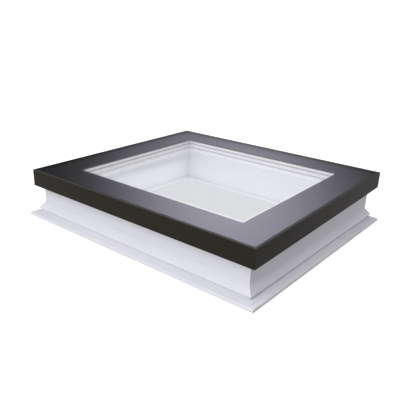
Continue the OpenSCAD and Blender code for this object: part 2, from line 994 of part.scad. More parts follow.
module chain_bracket() {
    ear_in = chain_w / 2 + ear_gap;
    plate_set = 1;
    plate_in = nose_clear_in + plate_set;
    color(zinc_grey)
        difference() {
            on_sash()
                difference() {
                    translate([0, -sash_d / 2, 0])
                        union() {
                            translate([-bracket_l / 2, plate_in, -nose_d - bracket_plate_t])
                                cube([bracket_l, chain_in + ear_r - plate_in, bracket_plate_t]);
                            for (sx = [-1, 1])
                                translate([sx * (ear_in + ear_t / 2), chain_in, -pin_d]) {
                                    bore_x(ear_t, 2 * ear_r);
                                    translate([-ear_t / 2, -ear_r, 0])
                                        cube([ear_t, 2 * ear_r, ear_drop + bracket_plate_t / 2]);
                                }
                        }
                    translate([0, -sash_d / 2 + chain_in, -pin_d])
                        bore_x(bracket_l, bracket_pin_d + 2 * run_gap);
                }
            chain_bracket_screw_set();
        }
}

module chain_bracket_pin() {
    pin_over = 1;
    head_over = 1.5;
    pin_l = chain_w + 2 * (ear_gap + ear_t + pin_over);
    color(zinc_grey)
        translate([0, pin_y, pin_z]) {
            bore_x(pin_l, bracket_pin_d);
            translate([pin_l / 2 + pin_head_h / 2, 0, 0])
                bore_x(pin_head_h, bracket_pin_d + 2 * head_over);
        }
}

kerb_frame();
kerb_insulation();
kerb_seal();
kerb_hinge_leaf(-1);  // kerb_hinge_leaf_left
kerb_hinge_leaf(1);  // kerb_hinge_leaf_right
color(zinc_grey) kerb_hinge_screw_set(-run_gap);  // kerb_hinge_screws
hinge_pin(-1);  // hinge_pin_left
hinge_pin(1);  // hinge_pin_right
actuator_housing();
actuator_cap(-1);  // actuator_cap_left
actuator_cap(1);  // actuator_cap_right
actuator_bracket(-1);  // actuator_bracket_left
actuator_bracket(1);  // actuator_bracket_right
actuator_screws();
gear_motor();
drive_frame();
chain_sprocket();
push_chain();
cable_gland();
sash_frame();
sash_insulation();
outer_pane();
printed_border();
outer_spacer();
middle_pane();
inner_spacer();
inner_pane();
edge_sealant();
glass_bond();
pane_gasket();
setting_blocks();
seam_gasket();
cladding_side(0);  // cladding_front
cladding_side(1);  // cladding_right
cladding_side(2);  // cladding_back
cladding_side(3);  // cladding_left
cladding_corner_keys();
color(zinc_grey) on_sash() cladding_screw_set(-run_gap);  // cladding_screws
sash_hinge_leaf(-1);  // sash_hinge_leaf_left
sash_hinge_leaf(1);  // sash_hinge_leaf_right
color(zinc_grey) sash_hinge_screw_set(-run_gap);  // sash_hinge_screws
chain_bracket();
chain_bracket_pin();
color(zinc_grey) chain_bracket_screw_set(-run_gap);  // chain_bracket_screws
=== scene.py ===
"""Looks of a flat-glass roof skylight: white PVC kerb, dark metal cladding, black-edged glass.

Sizes of the window are in millimetres until as_mesh turns them into metres; finishes and the
studio are in metres. Insets are measured inwards from the outer face of the cladding, depths
downwards from the top of the glass.
"""

import json
import logging
import math
from collections.abc import Iterable
from dataclasses import dataclass, field
from enum import Enum
from functools import reduce

import bpy
import numpy as np
from mathutils import Matrix


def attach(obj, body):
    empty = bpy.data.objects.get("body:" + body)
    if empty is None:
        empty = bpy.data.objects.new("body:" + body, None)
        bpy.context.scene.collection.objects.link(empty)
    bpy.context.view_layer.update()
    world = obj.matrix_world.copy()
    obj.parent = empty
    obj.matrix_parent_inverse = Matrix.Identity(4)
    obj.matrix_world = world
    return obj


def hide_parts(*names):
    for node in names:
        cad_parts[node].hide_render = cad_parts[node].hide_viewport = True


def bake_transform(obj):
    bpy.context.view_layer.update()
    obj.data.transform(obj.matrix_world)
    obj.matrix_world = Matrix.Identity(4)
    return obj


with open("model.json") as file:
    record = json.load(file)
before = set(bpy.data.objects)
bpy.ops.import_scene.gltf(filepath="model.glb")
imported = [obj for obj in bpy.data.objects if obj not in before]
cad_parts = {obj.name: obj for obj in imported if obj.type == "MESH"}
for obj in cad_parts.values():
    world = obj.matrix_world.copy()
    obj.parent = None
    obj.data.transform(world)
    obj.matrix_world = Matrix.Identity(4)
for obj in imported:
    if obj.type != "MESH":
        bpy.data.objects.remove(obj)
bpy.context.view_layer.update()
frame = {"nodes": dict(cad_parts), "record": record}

log = logging.getLogger("skylight")
MM = 0.001
RUN_MAP = "run"
Span = tuple[float, float]
Triple = tuple[float, float, float]
Colour = Triple


# ---------- Setting out ----------


@dataclass(frozen=True)
class Site:
    """Sizes that the kerb, the sash and the glass share, in millimetres."""

    width: float = 1000.0
    depth: float = 900.0
    rise: float = 182.0
    fall_deg: float = 1.5

    @property
    def fall(self) -> float:
        """Slope of the glass in radians."""
        return math.radians(self.fall_deg)

    def tilt(self, points: np.ndarray) -> np.ndarray:
        """Turns points drawn with z = 0 on the glass about its low edge by the fall.

        Args:
            points: Array (..., 3) with the window drawn level.

        Returns:
            Array of the same shape on the sloping sash.
        """
        run = points[..., 1] + self.depth / 2
        cos, sin = math.cos(self.fall), math.sin(self.fall)
        y = run * cos - points[..., 2] * sin - self.depth / 2
        z = run * sin + points[..., 2] * cos + self.rise
        return np.stack([points[..., 0], y, z], axis=-1)

    def shear(self, points: np.ndarray, datum: float) -> np.ndarray:
        """Lifts what is above a height with the slope of the glass, and leaves what is below.

        Args:
            points: Array (..., 3) drawn for the middle of the window.
            datum: Height above which points are lifted by y times the tangent of the fall.

        Returns:
            Array of the same shape.
        """
        lift = points[..., 1] * math.tan(self.fall) * (points[..., 2] > datum)
        return points + np.stack([lift * 0, lift * 0, lift], axis=-1)

    def glass_height(self, depth: float) -> float:
        """Height over the middle of the window of a plane that lies below the glass."""
        return self.rise + self.depth / 2 * math.tan(self.fall) - depth / math.cos(self.fall)


SITE = Site()


# ---------- Surfaces ----------


@dataclass
class Surface:
    """A mesh in the making: vertices in millimetres, quads with their uv, and flat end caps."""

    verts: np.ndarray
    quads: np.ndarray
    uv: np.ndarray
    caps: list[np.ndarray] = field(default_factory=list)

    def joined(self, other: "Surface") -> "Surface":
        """Both surfaces as one.

        Args:
            other: The surface to add, which keeps its own vertices.

        Returns:
            A surface with this one's faces first.
        """
        shift = len(self.verts)
        return Surface(
            np.concatenate([self.verts, other.verts]),
            np.concatenate([self.quads, other.quads + shift]),
            np.concatenate([self.uv, other.uv]),
            self.caps + [cap + shift for cap in other.caps],
        )

    def moved(self, points: np.ndarray) -> "Surface":
        """The same faces on other vertices."""
        return Surface(points, self.quads, self.uv, self.caps)

    def tilted(self) -> "Surface":
        """The same faces, laid from level onto the slope of the glass."""
        return self.moved(SITE.tilt(self.verts))

    def volume(self) -> float:
        """Signed volume: a sixth of the sum of each triangle's triple product, as fans.

        Returns:
            Cubic millimetres, above 0 where the faces point outwards.
        """
        fans = [self.quads[:, [0, 1, 2]], self.quads[:, [0, 2, 3]]]
        for cap in self.caps:
            first = np.full(len(cap) - 2, cap[0])
            fans.append(np.stack([first, cap[1:-1], cap[2:]], axis=1))
        a, b, c = np.moveaxis(self.verts[np.concatenate(fans)], 1, 0)
        return float(np.sum(a * np.cross(b, c)) / 6)

    def outward(self) -> "Surface":
        """The surface with its faces turned outwards.

        Returns:
            This surface, or one with every face in the other direction.
        """
        if self.volume() >= 0:
            return self
        caps = [cap[::-1] for cap in self.caps]
        return Surface(self.verts, self.quads[:, ::-1], self.uv[:, ::-1], caps)


def grid(points: np.ndarray, uv: np.ndarray, wrap_u: bool, wrap_v: bool) -> Surface:
    """Quads over a grid of points.

    The quad at (i, j) joins the points (i, j), (i + 1, j), (i + 1, j + 1) and (i, j + 1), and
    the last row or column joins the first again where the grid wraps.

    Args:
        points: Array (m, n, 3).
        uv: Array (m + wrap_u, n + wrap_v, 2).
        wrap_u: Whether the rows close into a loop.
        wrap_v: Whether the columns close into a loop.

    Returns:
        The surface, with its vertices in row order.
    """
    m, n = points.shape[:2]
    i, j = np.meshgrid(np.arange(m - 1 + wrap_u), np.arange(n - 1 + wrap_v), indexing="ij")
    di, dj = np.array([0, 1, 1, 0]), np.array([0, 0, 1, 1])
    ci, cj = i[..., None] + di, j[..., None] + dj
    quads = (ci % m) * n + cj % n
    return Surface(points.reshape(-1, 3), quads.reshape(-1, 4), uv[ci, cj].reshape(-1, 4, 2))


def all_joined(surfaces: Iterable[Surface]) -> Surface:
    """Several surfaces as one."""
    return reduce(Surface.joined, surfaces)


def circle(radius: float, segments: int) -> np.ndarray:
    """Points (radius cos a, radius sin a) at even angles a."""
    a = np.arange(segments) * math.tau / segments
    return radius * np.stack([np.cos(a), np.sin(a)], axis=1)


def prism(outline: np.ndarray, start: float, end: float) -> Surface:
    """An outline carried along Z between two heights.

    Args:
        outline: Array (n, 2) in X and Y.
        start: Height of its first copy.
        end: Height of its second copy.

    Returns:
        The closed prism, with a flat cap on both ends.
    """
    n = len(outline)
    loops = [np.column_stack([outline, np.full(n, z)]) for z in (start, end)]
    wall = grid(np.stack(loops), np.zeros((2, n + 1, 2)), False, True)
    wall.caps = [np.arange(n)[::-1], np.arange(n) + n]
    return wall.outward()


def turned_profile(profile: np.ndarray | list, segments: int) -> Surface:
    """A closed profile turned about Z: (r cos a, r sin a, z) at even angles a.

    Args:
        profile: Points (r, z).
        segments: How many angles.

    Returns:
        A closed ring.
    """
    a = np.arange(segments)[:, None] * math.tau / segments
    r, z = np.asarray(profile, float).T
    points = np.stack([r * np.cos(a), r * np.sin(a), z + 0 * a], axis=-1)
    return grid(points, np.zeros((segments + 1, len(profile) + 1, 2)), True, True).outward()


def placed(surface: Surface, place: np.ndarray | tuple, along: tuple) -> Surface:
    """A surface drawn about Z, with its Z turned to a direction and its origin moved.

    Args:
        surface: The surface in its own frame.
        place: Where its origin goes.
        along: Unit vector that its Z axis points along.

    Returns:
        The surface in the row's frame.
    """
    z = np.asarray(along, float)
    helper = np.eye(3)[int(np.argmin(np.abs(z)))]
    x = np.cross(helper, z)
    x /= np.linalg.norm(x)
    frame_rows = np.stack([x, np.cross(z, x), z])
    return surface.moved(surface.verts @ frame_rows + np.asarray(place, float))


def rounded(points: list, radii: Iterable[float] | float, steps: int = 4) -> np.ndarray:
    """A polygon with rounded corners.

    Each corner turns into an arc that touches both of its sides at r / tan(half its angle)
    from the corner. The arc runs between the radii to those two points, each weighted by the
    sine of its share of the turn. A radius is cut back where a side is too short for it.

    Args:
        points: Corners in order, as (inset, height).
        radii: One radius, or one for each corner.
        steps: Pieces in each arc.

    Returns:
        Array (k, 2) without double points.
    """
    side_share, straight, double = 0.49, 0.9999999, 1e-4
    p = np.asarray(points, float)
    r = np.broadcast_to(np.asarray(radii, float), len(p))
    to_last, to_next = np.roll(p, 1, 0) - p, np.roll(p, -1, 0) - p
    last_run = np.linalg.norm(to_last, axis=1, keepdims=True)
    next_run = np.linalg.norm(to_next, axis=1, keepdims=True)
    room = side_share * np.minimum(last_run, next_run)[:, 0]
    u, v = to_last / last_run, to_next / next_run
    half = np.arccos(np.clip(np.sum(u * v, axis=1), -straight, 1)) / 2
    touch = np.minimum(r / np.tan(half), room)[:, None]
    radius = touch * np.tan(half)[:, None]
    middle = (u + v) / np.linalg.norm(u + v, axis=1, keepdims=True)
    centre = p + middle * radius / np.sin(half)[:, None]
    turn = (math.pi - 2 * half)[:, None, None]
    share = np.linspace(0, 1, steps + 1)[None, :, None]
    a, b = (p + u * touch - centre)[:, None], (p + v * touch - centre)[:, None]
    arc = (np.sin((1 - share) * turn) * a + np.sin(share * turn) * b) / np.sin(turn)
    path = (centre[:, None] + arc).reshape(-1, 2)
    far = np.linalg.norm(path - np.roll(path, 1, 0), axis=1) > double
    return path[far]


def girth(profile: np.ndarray) -> np.ndarray:
    """Distance run along a closed profile, (n + 1) values that start at 0."""
    sides = np.linalg.norm(np.roll(profile, -1, 0) - profile, axis=1)
    return np.concatenate([[0.0], np.cumsum(sides)])


def ring(profile: np.ndarray) -> Surface:
    """A profile carried round the window with mitred corners.

    Each profile point (inset, z) goes to x = sx (W / 2 - inset) and y = sy (D / 2 - inset) at
    eight stations: the corners, where sx and sy are 1 or -1, and the middles of the sides,
    where one of them is 0. U runs from 0 at a mitre to half the side in the middle, V is the
    distance along the profile.

    Args:
        profile: Array (n, 2) of insets and heights.

    Returns:
        A closed ring.
    """
    sx = np.array([-1, 0, 1, 1, 1, 0, -1, -1])[:, None]
    sy = np.array([-1, -1, -1, 0, 1, 1, 1, 0])[:, None]
    inset, z = profile.T
    x, y = sx * (SITE.width / 2 - inset), sy * (SITE.depth / 2 - inset)
    points = np.stack([x, y, z + 0 * x], axis=-1)
    half_run = np.where(sx == 0, SITE.width / 2, SITE.depth / 2) - inset
    u = half_run * (sx * sy == 0)
    u = np.pad(u, ((0, 1), (0, 1)), mode="wrap")
    v = np.broadcast_to(girth(profile), u.shape)
    return grid(points, np.stack([u, v], axis=-1), True, True)


class Side(Enum):
    """A side of the window, as quarter turns from the front."""

    FRONT = 0
    RIGHT = 1
    BACK = 2
    LEFT = 3

    def length(self) -> float:
        """Length of this side over the cladding."""
        return SITE.depth if self.value % 2 else SITE.width

    def distance(self) -> float:
        """How far apart this side and the opposite one are."""
        return SITE.width if self.value % 2 else SITE.depth

    def turned(self, points: np.ndarray) -> np.ndarray:
        """Points drawn for the front, turned to this side: the plane rotation in quarter turns.

        Args:
            points: Array (..., 3).

        Returns:
            Array of the same shape.
        """
        a = math.radians(90 * self.value)
        x = points[..., 0] * round(math.cos(a)) - points[..., 1] * round(math.sin(a))
        y = points[..., 0] * round(math.sin(a)) + points[..., 1] * round(math.cos(a))
        return np.stack([x, y, points[..., 2]], axis=-1)


def mitred_bar(side: Side, profile: np.ndarray, gap: float) -> Surface:
    """A profile carried along one side, with both ends cut to a mitre.

    Each profile point (inset, z) goes to x = t (L / 2 - inset - gap) and y = inset - S / 2 at
    the stations t = -1, 0 and 1, for a side of length L at a distance S from its opposite.

    Args:
        side: Which side of the window.
        profile: Array (n, 2) of insets and heights.
        gap: How far each end stops short of the mitre.

    Returns:
        A closed bar with two flat ends.
    """
    t = np.array([-1.0, 0.0, 1.0])[:, None]
    inset, z = profile.T
    half_run = side.length() / 2 - inset - gap
    x = t * half_run
    points = np.stack([x, inset - side.distance() / 2 + 0 * x, z + 0 * x], axis=-1)
    u = np.pad((1 - abs(t)) * half_run, ((0, 0), (0, 1)), mode="wrap")
    v = np.broadcast_to(girth(profile), u.shape)
    bar = grid(side.turned(points), np.stack([u, v], axis=-1), False, True)
    n = len(profile)
    bar.caps = [np.arange(n)[::-1], np.arange(n) + 2 * n]
    return bar


def slab(inset: float, top: float, bottom: float, arris: float) -> Surface:
    """A plate over the window with chamfered edges.

    Four loops round the plate, at the two faces with their edge drawn in by the arris and at
    the rim, and a flat cap over each face.

    Args:
        inset: Distance of the rim from the cladding's outer face.
        top: Depth of its upper face.
        bottom: Depth of its lower face.
        arris: Width of the chamfer.

    Returns:
        A closed plate, drawn level.
    """
    level = np.array([-top, -top - arris, -bottom + arris, -bottom])[:, None]
    inwards = inset + np.array([arris, 0, 0, arris])[:, None]
    sx, sy = np.array([[-1, 1, 1, -1], [-1, -1, 1, 1]])
    x, y = sx * (SITE.width / 2 - inwards), sy * (SITE.depth / 2 - inwards)
    points = np.stack([x, y, level + 0 * x], axis=-1)
    u, v = np.meshgrid(np.arange(4.0), np.arange(5.0), indexing="ij")
    plate = grid(points, np.stack([u, v], axis=-1), False, True)
    plate.caps = [np.arange(4)[::-1], np.arange(4) + 12]
    return plate


def box_profile(near: float, far: float, top: float, bottom: float, radius: float) -> np.ndarray:
    """A rectangular profile between two insets and two depths, with rounded corners."""
    corners = [(near, -bottom), (near, -top), (far, -top), (far, -bottom)]
    return rounded(corners, radius)


def tube_wall(bore_r: float, outer_r: float, half: float) -> list[Span]:
    """Profile (radius, height) of a short tube, level with Z = 0 at half its length."""
    return [(bore_r, -half), (outer_r, -half), (outer_r, half), (bore_r, half)]


def as_mesh(name: str, surface: Surface) -> bpy.types.Mesh:
    """A mesh that has the surface's quads and then its caps as faces.

    Args:
        name: Name of the mesh.
        surface: The surface, in millimetres.

    Returns:
        The mesh, in metres.
    """
    mesh = bpy.data.meshes.new(name)
    faces = surface.quads.tolist() + [cap.tolist() for cap in surface.caps]
    mesh.from_pydata((surface.verts * MM).tolist(), [], faces)
    return mesh


def in_scene(name: str, data: bpy.types.ID) -> bpy.types.Object:
    """A new object in the scene, at the origin.

    Args:
        name: Name of the object.
        data: Its mesh or camera.

    Returns:
        The object.
    """
    obj = bpy.data.objects.new(name, data)
    bpy.context.scene.collection.objects.link(obj)
    return obj


def cut_out(piece: bpy.types.Object, cutter: Surface) -> None:
    """Cuts a closed surface out of a finished piece and keeps the result as its mesh.

    Args:
        piece: The piece, which gets a new mesh.
        cutter: What to take away.
    """
    tool = in_scene("cutter", as_mesh("cutter", cutter))
    cut = piece.modifiers.new("cut", "BOOLEAN")
    cut.object, cut.operation, cut.solver = tool, "DIFFERENCE", "EXACT"
    depsgraph = bpy.context.evaluated_depsgraph_get()
    made = bpy.data.meshes.new_from_object(piece.evaluated_get(depsgraph))
    made.name = piece.name
    piece.modifiers.remove(cut)
    spent = (piece.data, tool.data)
    piece.data = made
    bpy.data.objects.remove(tool)
    for mesh in spent:
        bpy.data.meshes.remove(mesh)


# ---------- Shader maths ----------


class Wire:
    """A number or vector in a node tree, on which arithmetic adds Math nodes."""

    def __init__(self, tree: "NodeTree", socket: bpy.types.NodeSocket) -> None:
        """Keeps the tree and the output socket it stands for."""
        self.tree = tree
        self.socket = socket

    def _math(self, operation: str, *values: object) -> "Wire":
        """One Math node on these values."""
        return self.tree.node("ShaderNodeMath", {"operation": operation}, dict(enumerate(values)))

    def __add__(self, other: object) -> "Wire":
        """self + other"""
        return self._math("ADD", self, other)

    def __radd__(self, other: object) -> "Wire":
        """other + self"""
        return self._math("ADD", other, self)

    def __sub__(self, other: object) -> "Wire":
        """self - other"""
        return self._math("SUBTRACT", self, other)

    def __rsub__(self, other: object) -> "Wire":
        """other - self"""
        return self._math("SUBTRACT", other, self)

    def __mul__(self, other: object) -> "Wire":
        """self * other"""
        return self._math("MULTIPLY", self, other)

    def __rmul__(self, other: object) -> "Wire":
        """other * self"""
        return self._math("MULTIPLY", other, self)

    def __truediv__(self, other: object) -> "Wire":
        """self / other"""
        return self._math("DIVIDE", self, other)

    def __pow__(self, other: object) -> "Wire":
        """self to the power of other"""
        return self._math("POWER", self, other)

    def __abs__(self) -> "Wire":
        """Size without sign"""
        return self._math("ABSOLUTE", self)

    def at_least(self, other: object) -> "Wire":
        """The larger of the two"""
        return self._math("MAXIMUM", self, other)

    def smooth(self, low: float, high: float, start: float = 0.0, end: float = 1.0) -> "Wire":
        """Goes from start to end, smoothly, while the value goes from low to high.

        Args:
            low: Value at and below which the result is start.
            high: Value at and above which the result is end.
            start: Result at the low end.
            end: Result at the high end.

        Returns:
            The eased number.
        """
        settings = {"interpolation_type": "SMOOTHSTEP"}
        inputs = {"Value": self, "From Min": low, "From Max": high, "To Min": start, "To Max": end}
        return self.tree.node("ShaderNodeMapRange", settings, inputs)


class NodeTree:
    """A material's or world's nodes, cleared of those that a new one has."""

    def __init__(self, owner: bpy.types.Material | bpy.types.World) -> None:
        """Takes over a node tree.

        Args:
            owner: The material or world that it belongs to.
        """
        owner.use_nodes = True
        self.tree = owner.node_tree
        self.tree.nodes.clear()

    def node(
        self,
        kind: str,
        settings: dict | None = None,
        inputs: dict | None = None,
        output: int | str = 0,
    ) -> Wire:
        """Adds one node.

        Args:
            kind: Its type, such as "ShaderNodeTexNoise".
            settings: Properties, which are set first.
            inputs: Values or wires for its sockets, by name or number.
            output: Which output the wire stands for.

        Returns:
            The wire from that output.
        """
        made = self.tree.nodes.new(kind)
        for key, value in (settings or {}).items():
            setattr(made, key, value)
        for key, value in (inputs or {}).items():
            if isinstance(value, Wire):
                self.tree.links.new(value.socket, made.inputs[key])
            else:
                made.inputs[key].default_value = value
        return Wire(self, made.outputs[output] if made.outputs else None)

    def ray(self, kind: str) -> Wire:
        """1 on light paths of a kind, such as "Is Camera Ray", and 0 on others."""
        return self.node("ShaderNodeLightPath", output=kind)

    def position(self) -> Wire:
        """Place on the part, in metres."""
        return self.node("ShaderNodeTexCoord", output="Object")

    def axes(self, vector: Wire) -> tuple[Wire, Wire, Wire]:
        """The three numbers of a vector.

        Args:
            vector: A wire that carries a place or direction.

        Returns:
            Its X, Y and Z.
        """
        split = self.node("ShaderNodeSeparateXYZ", inputs={0: vector})
        outputs = split.socket.node.outputs
        return Wire(self, outputs[0]), Wire(self, outputs[1]), Wire(self, outputs[2])

    def run_and_girth(self) -> tuple[Wire, Wire]:
        """Distance from the mitre and along the profile, in metres, on swept pieces."""
        run, around, _ = self.axes(self.node("ShaderNodeUVMap", {"uv_map": RUN_MAP}))
        return run, around

    def noise(self, vector: Wire, scale: float, detail: float) -> Wire:
        """Cloudy noise from 0 to 1, with about so many clouds a metre."""
        inputs = {"Vector": vector, "Scale": scale, "Detail": detail}
        return self.node("ShaderNodeTexNoise", inputs=inputs)

    def stretched(self, vector: Wire, factors: Triple) -> Wire:
        """A place with each of its axes scaled."""
        settings = {"operation": "MULTIPLY"}
        return self.node("ShaderNodeVectorMath", settings, {0: vector, 1: factors})

    def mixed(self, factor: Wire, first: object, second: object) -> Wire:
        """A colour between two.

        Args:
            factor: 0 for the first, 1 for the second.
            first: A colour or a wire.
            second: A colour or a wire.

        Returns:
            The mixed colour.
        """
        settings = {"data_type": "RGBA"}
        inputs = {0: factor, 6: self._colour(first), 7: self._colour(second)}
        return self.node("ShaderNodeMix", settings, inputs, output=2)

    def scaled(self, colour: Colour, factor: Wire) -> Wire:
        """A colour times a number, which may be over 1."""
        settings = {"operation": "SCALE"}
        return self.node("ShaderNodeVectorMath", settings, {0: colour, "Scale": factor})

    @staticmethod
    def _colour(value: object) -> object:
        """A wire as it is, or a colour with its alpha."""
        return value if isinstance(value, Wire) else (*value, 1.0)

    def bumps(self, height: Wire, depth: float, under: Wire | None = None) -> Wire:
        """A normal bent by a relief.

        Args:
            height: The relief, from 0 to 1.
            depth: What 1 stands for, in metres.
            under: A normal that is already bent, if there is one.

        Returns:
            The bent normal.
        """
        inputs = {"Height": height, "Distance": depth, "Strength": 1.0}
        if under:
            inputs["Normal"] = under
        return self.node("ShaderNodeBump", inputs=inputs)

    def principled(self, inputs: dict) -> Wire:
        """A Principled shader."""
        return self.node("ShaderNodeBsdfPrincipled", inputs=inputs)

    def clear(self, tint: Colour = (1.0, 1.0, 1.0)) -> Wire:
        """A shader that lets light straight through."""
        return self.node("ShaderNodeBsdfTransparent", inputs={"Color": (*tint, 1.0)})

    def glow(self, strength: Wire | float, colour: Colour = (1.0, 1.0, 1.0)) -> Wire:
        """A shader that gives light of its own."""
        inputs = {"Color": (*colour, 1.0), "Strength": strength}
        return self.node("ShaderNodeEmission", inputs=inputs)

    def blended(self, factor: Wire, first: Wire, second: Wire) -> Wire:
        """Two shaders, from the first to the second as the factor goes from 0 to 1."""
        return self.node("ShaderNodeMixShader", inputs={0: factor, 1: first, 2: second})

    def finish(self, shader: Wire, kind: str = "ShaderNodeOutputMaterial") -> None:
        """Puts the shader on the surface."""
        self.node(kind, inputs={"Surface": shader})


# ---------- Finishes ----------


@dataclass(frozen=True)
class Finish:
    """A surface finish that dresses new pieces and CAD nodes."""

    name: str

    def shade(self, tree: NodeTree) -> Wire:
        """The finish's shader; each finish has its own.

        Args:
            tree: The nodes of its material.

        Returns:
            The shader.
        """
        raise NotImplementedError

    def material(self) -> bpy.types.Material:
        """Builds the material.

        Returns:
            A new material with the finish's name.
        """
        made = bpy.data.materials.new(self.name)
        tree = NodeTree(made)
        tree.finish(self.shade(tree))
        return made


@dataclass(frozen=True)
class WhitePvc(Finish):
    """Satin white PVC profile: fine extrusion lines and a weld bead along each mitre."""

    colour: Colour = (0.71, 0.71, 0.768)
    weld_colour: Colour = (0.65, 0.65, 0.70)
    weld_share: float = 0.8
    weld_half: float = 0.0009
    weld_core: float = 0.6
    weld_relief: float = 0.0003
    dust_colour: Colour = (0.64, 0.64, 0.685)
    dust: tuple[float, ...] = (0.45, 0.75, 0.0, 0.12)
    clouds_a_metre: float = 9.0
    grain_a_metre: float = 1500.0
    lines_a_metre: float = 700.0
    line_share: float = 0.6
    relief: float = 0.00004
    roughness: float = 0.27
    cloud_rough: float = 0.1
    weld_rough: float = 0.2
    ior: float = 1.52

    def shade(self, tree: NodeTree) -> Wire:
        """White with faint clouds, lines along the profile, and the weld in the corners.

        Args:
            tree: The nodes of its material.

        Returns:
            The shader.
        """
        place = tree.position()
        run, around = tree.run_and_girth()
        clouds = tree.noise(place, self.clouds_a_metre, 3.0)
        grain = tree.noise(place, self.grain_a_metre, 1.0)
        across = {"W": around, "Scale": self.lines_a_metre, "Detail": 3.0}
        lines = tree.node("ShaderNodeTexNoise", {"noise_dimensions": "1D"}, across)
        weld = run.smooth(self.weld_half * self.weld_core, self.weld_half, 1.0, 0.0)
        dusty = tree.mixed(clouds.smooth(*self.dust), self.colour, self.dust_colour)
        skin = tree.bumps(lines * self.line_share + grain * (1 - self.line_share), self.relief)
        return tree.principled(
            {
                "Base Color": tree.mixed(weld * self.weld_share, dusty, self.weld_colour),
                "Roughness": self.roughness + self.cloud_rough * clouds + self.weld_rough * weld,
                "Normal": tree.bumps(1 - weld, self.weld_relief, skin),
                "IOR": self.ior,
            }
        )


@dataclass(frozen=True)
class PowderCoat(Finish):
    """Dark satin powder coat on aluminium: a fine pebbled skin, and a painted highlight along its
    lip.
    """

    colour: Colour = (0.0190, 0.0150, 0.0105)
    fleck: Colour = (0.029, 0.0235, 0.0175)
    flecked: Span = (0.52, 0.72)
    # Painted highlight on the lip: its paler colour, and the share of it that does not follow the
    # pebble noise.
    lip_highlight: Colour = (0.060, 0.060, 0.058)
    lip_highlight_share: float = 0.7
    lip: Span = (0.0006, 0.0034)
    lip_shine: float = 0.1
    roughness: float = 0.42
    cloud_rough: float = 0.08
    sheen: float = 0.15
    pebbles_a_metre: float = 900.0
    grains_a_metre: float = 2600.0
    clouds_a_metre: float = 14.0
    pebble_share: float = 0.7
    relief: float = 0.00005

    def shade(self, tree: NodeTree) -> Wire:
        """Dark brown with fine flecks, pebbled by two sizes of noise, and a painted highlight on
        the lip.

        Args:
            tree: The nodes of its material.

        Returns:
            The shader.
        """
        place = tree.position()
        _, y, z = tree.axes(place)
        below_glass = (SITE.glass_height(0.0) * MM - z) + y * math.tan(SITE.fall)
        lip = below_glass.smooth(*self.lip, 1.0, 0.0)
        pebble = tree.noise(place, self.pebbles_a_metre, 2.0)
        fine = tree.noise(place, self.grains_a_metre, 1.0)
        clouds = tree.noise(place, self.clouds_a_metre, 2.0)
        flecked = tree.mixed(fine.smooth(*self.flecked), self.colour, self.fleck)
        # Painted highlight along the lip, mottled by the pebble noise.
        lip_highlight_mask = lip * (self.lip_highlight_share + (1 - self.lip_highlight_share) * pebble)
        rough = self.roughness + self.cloud_rough * (clouds - 0.5) - self.lip_shine * lip
        skin = pebble * self.pebble_share + fine * (1 - self.pebble_share)
        return tree.principled(
            {
                "Base Color": tree.mixed(lip_highlight_mask, flecked, self.lip_highlight),
                "Roughness": rough,
                "Specular IOR Level": self.sheen,
                "Normal": tree.bumps(skin, self.relief),
            }
        )


@dataclass(frozen=True)
class ClearGlass(Finish):
    """A clear pane: what is behind it with a faint tint, and a mirror that grows at a slant."""

    tint: Colour = (0.9725, 0.9740, 0.9770)
    head_on: float = 0.04
    mirror_power: float = 5.0
    mirror_rough: float = 0.02
    border_inset: float = 131.0
    border_fade: Span = (-0.001, 0.001)
    clear_share: float = 0.05
    # Painted glow over the clear area, standing in for the sky's reflection: its strength and
    # colour.
    painted_veil: float = 0.105
    painted_veil_colour: Colour = (0.735, 0.738, 0.775)
    # Painted glow on the upright edges of the inner panes, standing in for light led through the
    # glass: its colour and strength.
    painted_edge_colour: Colour = (0.86, 0.88, 0.91)
    painted_edge_glow: float = 0.68
    edge_slant: Span = (0.3, 0.5)
    edge_reach: Span = (0.03, 0.06)

    def shade(self, tree: NodeTree) -> Wire:
        """Mirrors head_on + (1 - head_on) (1 - cos)^5, and less of it over the clear area.

        A faint even glow is painted over the clear area in place of the pale sky that the coatings
        spread, and a painted glow on the ground edges of the inner panes stands in for the light
        that the glass leads to them.

        Args:
            tree: The nodes of its material.

        Returns:
            The shader.
        """
        x, y, _ = tree.axes(tree.position())
        half_x = (SITE.width / 2 - self.border_inset) * MM
        half_y = (SITE.depth / 2 - self.border_inset) * MM
        outside = (abs(x) - half_x).at_least(abs(y) - half_y)
        facing = tree.node("ShaderNodeLayerWeight", inputs={"Blend": 0.5}, output="Facing")
        slant = self.head_on + (1 - self.head_on) * facing**self.mirror_power
        mirror = slant * outside.smooth(*self.border_fade, self.clear_share, 1.0)
        # Painted glow over the clear area, in place of the sky's spread reflection.
        painted_veil = outside.smooth(*self.border_fade, self.painted_veil, 0.0)
        through = tree.blended(painted_veil, tree.clear(self.tint), tree.glow(1.0, self.painted_veil_colour))
        shine = {"Color": (1.0, 1.0, 1.0, 1.0), "Roughness": self.mirror_rough}
        gloss = tree.node("ShaderNodeBsdfGlossy", inputs=shine)
        _, _, up = tree.axes(tree.node("ShaderNodeNewGeometry", output="Normal"))
        # Painted glow on the upright pane edges near the clear area.
        upright = abs(up).smooth(*self.edge_slant, 1.0, 0.0)
        near_clear = outside.smooth(*self.edge_reach, 1.0, 0.0)
        face = tree.blended(mirror, through, gloss)
        return tree.blended(upright * near_clear, face, tree.glow(self.painted_edge_glow, self.painted_edge_colour))


